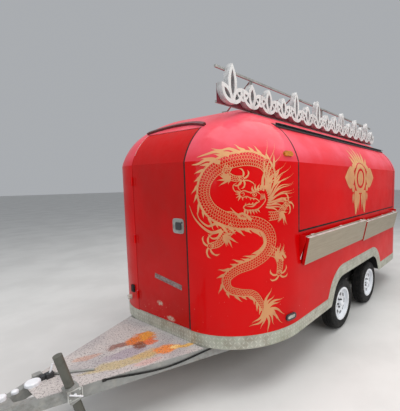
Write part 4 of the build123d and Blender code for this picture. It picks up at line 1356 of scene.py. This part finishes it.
def make_seals_and_gap_shade():
    """Black seals in the gaps round the hatch and the door, most of them wider than the gaps, their extra
    width painted shade.
    """
    heap = Heap()
    hinge_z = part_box("hatch_rail")[0].z
    for x in (hatch_high.x + 0.0090, hatch_low.x - 0.0090):
        line, normals = wall_line(x, wall_y, (0, 1), hatch_low.z - 0.012, hinge_z)
        heap.strip(line, normals, ahead_way * 0.0080, -0.018, 0.0008)
    foot = hatch_low.z - 0.0165
    low = (hatch_low.x - 0.016, wall_y - 0.018, foot)
    heap.box(low, (hatch_high.x + 0.016, wall_y + 0.0008, foot + 0.0155))
    # Columns: place across the front, half width, depth of its back and of its face
    gaps = [(door_high.y + 0.0105, 0.0072, -0.020, 0.0005), (door_low.y - 0.0035, 0.0018, -0.030, -0.020)]
    for y, half, back, face in gaps:
        line, normals = wall_line(front_x, y, (1, 0), skirt_top, door_high.z)
        heap.strip(line, normals, side_way * half, back, face)
    heap.make("door_and_hatch_seals_and_shade", "trailer", "black_trim")


def make_shelf_ends():
    """White end brackets between the wall and the leaning shelves."""
    heap = Heap()
    for name in ("shelf_front", "shelf_rear"):
        low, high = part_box(name)
        x = high.x + 0.004 if name == "shelf_front" else low.x - 0.010
        corners = [(wall_y, high.z - 0.004), (high.y - 0.030, high.z - 0.004), (wall_y, low.z + 0.045)]
        points = [Vector((x + step, y, z)) for step in (0, 0.006) for y, z in corners]
        heap.add(points, [(0, 2, 1), (3, 4, 5), (0, 1, 4, 3), (1, 2, 5, 4), (2, 0, 3, 5)])
    heap.make("shelf_end_brackets", "trailer", "white_steel")


def make_door_rail():
    """Arched rain strip that stands out from the domed front over the door, all in very dark red as painted
    shade.
    """
    half = 0.400
    rise = 0.052
    height = 0.020
    foot = door_high.z + 0.012

    def place(y, z, depth):
        point, normal = lay(body_skin, Vector((front_x + 0.5, middle_y + y, z)), -ahead_way, 0)
        return point + normal * depth

    rows = []
    for k in range(41):
        y = half * (k / 20 - 1)
        low = foot + rise * (1 - (y / half) ** 2)
        rows.append((y, low, low + height))
    heap = Heap()
    heap.columns(rows, place, -0.002, 0.020)
    heap.make("door_gutter", "trailer", "red_body", shaded_gutter_red, replaces="door_rail")


def make_latch():
    """Latch plate with its sunk paddle and key cap."""
    low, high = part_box("door_latch")
    centre_y = (low.y + high.y) / 2
    centre_z = (low.z + high.z) / 2
    half_y = (high.y - low.y) / 2
    half_z = (high.z - low.z) / 2

    def face(u, v, depth):
        return Vector((low.x + depth, centre_y + u, centre_z + v))

    def rounded(scale_y, scale_z):
        line = []
        for k in range(32):
            angle = 2 * pi * (k + 0.5) / 32
            c, s = cos(angle), sin(angle)
            stretch = (abs(c) ** 6 + abs(s) ** 6) ** (-1 / 6)
            line.append((half_y * scale_y * c * stretch, half_z * scale_z * s * stretch))
        return line

    plate = Heap()
    plate.band(rounded(1, 1), rounded(0.86, 0.84), face, 0, 0.0045)
    plate.band(rounded(0.86, 0.84), rounded(0.58, 0.5), face, 0, 0.0018)
    plate.make("latch_plate", "door", "galvanised", latch_zinc, replaces="door_latch")
    paddle = Heap()
    paddle.band(rounded(0.62, 0.56), rounded(0.02, 0.02), face, 0, 0.001)
    paddle.band(rounded(0.5, 0.4), rounded(0.02, 0.02), lambda u, v, d: face(u, v - 0.008, d), 0.001, 0.0053)
    paddle.turned(face(0.048, 0.030, 0.0018), ahead_way, [(0.008, 0), (0.008, 0.003), (0.006, 0.004)], 16)
    paddle.make("latch_paddle", "door", "dark_steel")


def make_hinge_leaves():
    """Leaves of the three hinges, on the wall and on the door, each with three rivets."""
    low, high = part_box("door_hinges")
    hinge_y = (low.y + high.y) / 2
    thickness = 0.0024
    rivet = [(0.0055, 0), (0.0045, 0.0016), (0.001, 0.0022)]
    for name, body, side in (("hinge_leaves", "trailer", -1), ("door_leaves", "door", 1)):
        heap = Heap()
        near, far = sorted((side * 0.004, side * 0.042))
        for share in (0, 0.5, 1):
            z = low.z + 0.040 + (high.z - low.z - 0.080) * share
            corner = (front_x + thickness, hinge_y + far, z + 0.038)
            heap.box((front_x + 0.0002, hinge_y + near, z - 0.038), corner)
            for rise in (-0.026, 0, 0.026):
                foot = Vector((front_x + thickness, hinge_y + side * 0.024, z + rise))
                heap.turned(foot, ahead_way, rivet, 10)
        heap.make(name, body, "red_body", door_red)


def make_tape():
    """Strip of tape on the door."""
    film = Film(tape_lift)
    film.ribbon([(-0.088, 0.904), (0.0, 0.893), (0.1, 0.880), (0.2, 0.867), (0.289, 0.855)], [0.0225] * 5, 4)
    film.make("door_tape", lambda y, z, lift: at(lift, y, z), tape, "door", "galvanised")


# Drawbar: deck sheet, brake lever, caps and jack details

deck_base = body_bottom
deck_top = deck_base + 0.004


def drawbar_edge(x):
    """Outer edge of the drawbar at a distance ahead of the front wall."""
    return drawbar_half_width - drawbar_slope * x


def make_deck():
    """Deck sheet out to the drawbar's edges."""
    heap = Heap()
    rows = [(x, 0.003 - drawbar_edge(x), drawbar_edge(x) - 0.003) for x in (0.004, 0.33, 0.66, 0.980)]
    heap.columns(rows, at, deck_base + 0.0001, deck_top)
    heap.make("deck_sheet", "trailer", "deck_steel", replaces="deck_plate")


def make_brake_lever():
    """Parking brake lever that lies back on the deck, its upright grip, a small box and caps."""
    heap = Heap()
    x, y = 0.850, -0.060
    heap.box(at(x - 0.022, y - 0.022, deck_top), at(x + 0.022, y + 0.022, deck_top + 0.034))
    heap.box(at(x + 0.022, y - 0.034, deck_top), at(x + 0.048, y + 0.004, deck_top + 0.026))
    heap.turned(at(x - 0.004, y - 0.024, deck_top + 0.018), side_way, [(0.006, 0), (0.006, 0.048)], 12)
    heap.make("brake_lever", "trailer", "dark_steel")
    bar = Heap()
    line = [at(x - 0.01, y - 0.02, deck_top + 0.012), at(0.640, 0.115, deck_top + 0.009)]
    bar.tube(line, [0.0085, 0.0075], 12)
    bar.box(at(0.874, -0.156, deck_top), at(0.922, -0.108, deck_top + 0.026))
    bar.make("lever_bar_and_block", "trailer", "galvanised")
    grip = Heap()
    line = [at(x, y, deck_top + 0.028), at(x - 0.012, y, 0.455), at(x - 0.022, y, 0.495)]
    grip.tube(line, [0.005, 0.007, 0.0065], 12)
    # Columns: place ahead of the front wall and the middle plane, foot, radius, height
    caps = [
        (0.944, -0.063, deck_top, 0.045, 0.024),
        (1.038, -0.060, body_bottom, 0.020, 0.022),
        (1.112, -0.033, body_bottom + 0.008, 0.027, 0.030),
    ]
    for cx, cy, foot, radius, rise in caps:
        edge = [(radius, rise - 0.008), (radius - 0.004, rise - 0.002), (radius - 0.009, rise)]
        grip.turned(at(cx, cy, foot), up_way, [(radius, 0)] + edge, 28)
    grip.make("brake_grip_and_caps", "trailer", "white_steel")


def make_clamp_details():
    """Ribs, bolts and a small T-handle on the outer face of the jack's clamp."""
    low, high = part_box("jack_clamp")
    middle = (low + high) / 2
    origin = Vector((middle.x, high.y + 0.5, middle.z))
    face, normal = lay(skin_of("jack_clamp"), origin, -side_way, 0)
    out = Vector((normal.x, normal.y, 0)).normalized()
    along = Vector((out.y, -out.x, 0))

    def spot(u, v, depth):
        return face + along * u + up_way * v + out * depth

    heap = Heap()
    for u in (-0.040, 0.040):
        heap.strip([spot(u, -0.034, 0), spot(u, 0.034, 0)], [out, out], along * 0.0025, -0.001, 0.009)
        for v in (-0.022, 0.022):
            heap.turned(spot(u * 0.72, v, 0), out, [(0.0075, 0), (0.0075, 0.005), (0.005, 0.0065)], 6)
    for v in (-0.033, 0.033):
        heap.strip([spot(-0.040, v, 0), spot(0.040, v, 0)], [out, out], up_way * 0.0025, -0.001, 0.006)
    heap.make("clamp_ribs", "trailer", "galvanised", pale_zinc_and_highlight)
    handle = Heap()
    handle.turned(spot(0, 0, -0.001), out, [(0.009, 0), (0.009, 0.006), (0.006, 0.007), (0.006, 0.022)], 14)
    handle.tube([spot(-0.036, -0.024, 0.020), spot(0.036, 0.024, 0.020)], [0.0048, 0.0048], 12)
    handle.make("clamp_handle", "trailer", "white_steel")


# Ovals of a low lamp. Columns: half length, radius
lamp_rim = (0.0595, 0.0275)
lamp_edge = (0.044, 0.014)
lamp_core = (0.0305, 0.0005)


def oval(half_length, radius):
    """Oval with round ends, as plane points."""
    line = []
    for k in range(48):
        angle = 2 * pi * (k + 0.5) / 48
        shift = half_length - radius if cos(angle) > 0 else radius - half_length
        line.append((shift + radius * cos(angle), radius * sin(angle)))
    return line


def make_low_lamps():
    """Low lamps on the front corners: a dark oval rim round a sunk lens."""
    mesh = nodes["low_lamps"].data
    rims = Heap()
    lenses = Heap()
    for way in (1, -1):
        points = [v.co for v in mesh.vertices if (v.co.y - middle_y) * way > 0]
        centre = sum(points, Vector()) / len(points)
        out = Vector((centre.x - corner_x, centre.y - middle_y - way * (corner_y - middle_y), 0)).normalized()
        along = Vector((-out.y, out.x, 0))
        depths = [(p - centre).dot(out) for p in points]

        def place(u, v, depth):
            return centre + along * u + Vector((0, 0, v)) + out * depth

        rims.band(oval(*lamp_rim), oval(*lamp_edge), place, min(depths), max(depths) - 0.0002)
        lenses.band(oval(*lamp_edge), oval(*lamp_core), place, min(depths), max(depths) - 0.003)
    rims.make("low_lamp_rims", "trailer", "dark_steel", replaces="low_lamps")
    lenses.make("low_lamp_lenses", "trailer", "clear_lens")


cable_radius = 0.007
# Points of the cable beside the drawbar's left rail: place ahead of the front wall, height
cable_route = [
    (0.640, 0.402), (0.600, 0.399), (0.550, 0.390), (0.470, 0.375), (0.370, 0.360), (0.265, 0.353),
    (0.155, 0.362), (0.055, 0.379), (-0.015, 0.390), (-0.070, 0.3965), (-0.110, 0.3965),
]


def make_cable():
    """Dark cable that sags beside the drawbar's left rail, with a gland at each end."""
    place, normal = lay(skin_of("drawbar_rail_left"), at(0.4, 1.2, 0.38), -side_way, 0)
    out = Vector((normal.x, normal.y, 0)).normalized()
    points = []
    for ahead, z in cable_route:
        x = at(ahead, 0, 0).x
        beside = place.y + (place.x - x) * out.x / out.y
        points.append(Vector((x, beside, z)) + out * (cable_radius + 0.0006))
    curve = bpy.data.curves.new("drawbar_cable", "CURVE")
    curve.dimensions = "3D"
    curve.bevel_depth = cable_radius
    curve.bevel_resolution = 3
    curve.resolution_u = 10
    spline = curve.splines.new("NURBS")
    spline.points.add(len(points) - 1)
    for knot, point in zip(spline.points, points):
        knot.co = (*point, 1)
    spline.order_u = 3
    spline.use_endpoint_u = True
    curve.materials.append(paints["black_trim"])
    cable = bpy.data.objects.new("drawbar_cable", curve)
    scene.collection.objects.link(cable)
    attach(cable, "trailer")
    heap = Heap()
    along = Vector((out.y, -out.x, 0))
    profile = [(0.0105, 0), (0.0105, 0.020), (0.009, 0.024)]
    for end, way in ((points[0], 1), (points[-1], -1)):
        heap.turned(end - along * way * 0.003, along * way, profile, 16)
    heap.make("cable_glands", "trailer", "black_trim")


# Wheels

tyre_radius = 0.2925
slot_radius = 0.111
nut_circle_radius = 0.047
nut_foot = 0.0290
# The disc rises from its hub to a ridge and falls from there to the rim
hub_radius = 0.062
hub_height = 0.0293
hub_rise = 0.58
ridge_radius = 0.093
ridge_height = 0.0473
ridge_fall = 0.116


# Half section of the tyre from its crown to its bead: distance out, drop from the crown, zone
tyre_half = [
    (0.0, 0.0, "groove"), (0.0042, 0.0065, "groove"), (0.0058, 0.0, "rib"), (0.0222, 0.0003, "rib"),
    (0.0238, 0.0065, "groove"), (0.0322, 0.0065, "groove"), (0.0338, 0.0008, "rib"), (0.0480, 0.0016, "rib"),
    (0.0500, 0.0055, "groove"), (0.0535, 0.0055, "groove"), (0.0550, 0.0026, "shoulder"),
    (0.0620, 0.0052, "shoulder"), (0.0690, 0.0110, "shoulder"), (0.0728, 0.0185, "shoulder"),
    (0.0758, 0.0250, "wall"), (0.0795, 0.0340, "wall"), (0.0812, 0.0352, "wall"), (0.0838, 0.0460, "wall"),
    (0.0851, 0.0560, "wall"), (0.0838, 0.0575, "wall"), (0.0830, 0.0700, "wall"), (0.0800, 0.0790, "wall"),
    (0.0745, 0.0890, "wall"), (0.0725, 0.0905, "wall"), (0.0662, 0.0985, "wall"), (0.0650, 0.1130, "wall"),
]
tread_blocks = 62
# Edges of a tread block as shares of its pitch, and whether the cross slot is cut there
block_edges = ((0.0, 1), (0.17, 1), (0.22, 0), (0.95, 0))
# Depth of the cross slots by zone
slot_depth = {"shoulder": 0.0042, "rib": 0.0020}


def make_tyre(name):
    """Tyre with grooves, cross slots at the shoulders and rings on its walls."""
    centre = wheel_centre(name)
    section = [(-s, drop, zone) for s, drop, zone in reversed(tyre_half[1:])] + tyre_half
    pitch = 2 * pi / tread_blocks
    points = []
    for block in range(tread_blocks):
        for share, cut in block_edges:
            angle = block * pitch + share * pitch
            for s, drop, zone in section:
                radius = tyre_radius - 0.0004 - (drop + slot_depth.get(zone, 0) * cut)
                points.append(centre + Vector((radius * sin(angle), s, radius * cos(angle))))
    rows = len(section)
    faces = []
    for k in range(0, len(points), rows):
        after = (k + rows) % len(points)
        for row in range(rows):
            below = (row + 1) % rows
            faces.append((k + row, k + below, after + below, after + row))
    piece("tyre_tread_" + name, points, faces, "wheel_" + name, "tyre_rubber", replaces="tyre_" + name)


def wheel_axis(name):
    """Outward direction of a wheel's axle."""
    return side_way if name.endswith("left") else -side_way


def disc_height(reach):
    """How far the disc stands out at a distance from the axle."""
    if reach > ridge_radius:
        return ridge_height - (reach - ridge_radius) * ridge_fall
    return hub_height + (reach - hub_radius) * hub_rise


def make_nuts(name):
    """Five wheel nuts."""
    centre = wheel_centre(name)
    axis = wheel_axis(name)
    heap = Heap()
    profile = [(0.0115, 0), (0.0115, 0.004), (0.0095, 0.005), (0.0095, 0.017), (0.006, 0.020)]
    for k in range(5):
        foot = centre + axis * nut_foot + spoke_of(up_way, ahead_way, k + 0.25, 5) * nut_circle_radius
        heap.turned(foot, axis, profile, 6)
    heap.make("wheel_nuts_" + name, "wheel_" + name, "dark_steel")


def make_slot_shade_rings(name):
    """Painted shade: dark rings laid on the disc round its eight slots."""
    centre = wheel_centre(name)
    axis = wheel_axis(name)
    angles = [2 * pi * step / 32 for step in range(32)]
    outer, inner = (
        [(half_u * cos(angle), half_v * sin(angle)) for angle in angles]
        for half_u, half_v in ((0.0295, 0.0185), (0.0205, 0.0115))
    )
    edges = Heap()
    for k in range(8):
        spoke = spoke_of(up_way, ahead_way, k, 8)
        across = spoke_of(ahead_way, -up_way, k, 8)

        def place(u, v, depth):
            reach = sqrt((slot_radius + v) ** 2 + u**2)
            rise = disc_height(reach) + 0.0002 + depth
            return centre + axis * rise + across * u + spoke * (slot_radius + v)

        edges.band(outer, inner, place, 0, 0.0005)
    edges.make("slot_shade_rings_" + name, "wheel_" + name, "dark_steel")


make_camera()
make_lights()
dress_nodes()
make_dragon()
make_rosette()
make_skirt()
make_flowers()
make_sign_board()
make_sign_rods()
make_seals_and_gap_shade()
make_shelf_ends()
make_door_rail()
make_latch()
make_hinge_leaves()
make_tape()
make_deck()
make_brake_lever()
make_clamp_details()
make_low_lamps()
make_cable()
for wheel_name in wheel_names:
    make_tyre(wheel_name)
    make_nuts(wheel_name)
    make_slot_shade_rings(wheel_name)

# Studio floor
floor_mesh = bpy.data.meshes.new("studio_floor")
floor_size = 60
corners = ((-1, -1), (1, -1), (1, 1), (-1, 1))
floor_mesh.from_pydata([(x * floor_size, y * floor_size, 0) for x, y in corners], [], [(0, 1, 2, 3)])
floor_mesh.materials.append(floor_grey())
floor = bpy.data.objects.new("studio_floor", floor_mesh)
scene.collection.objects.link(floor)
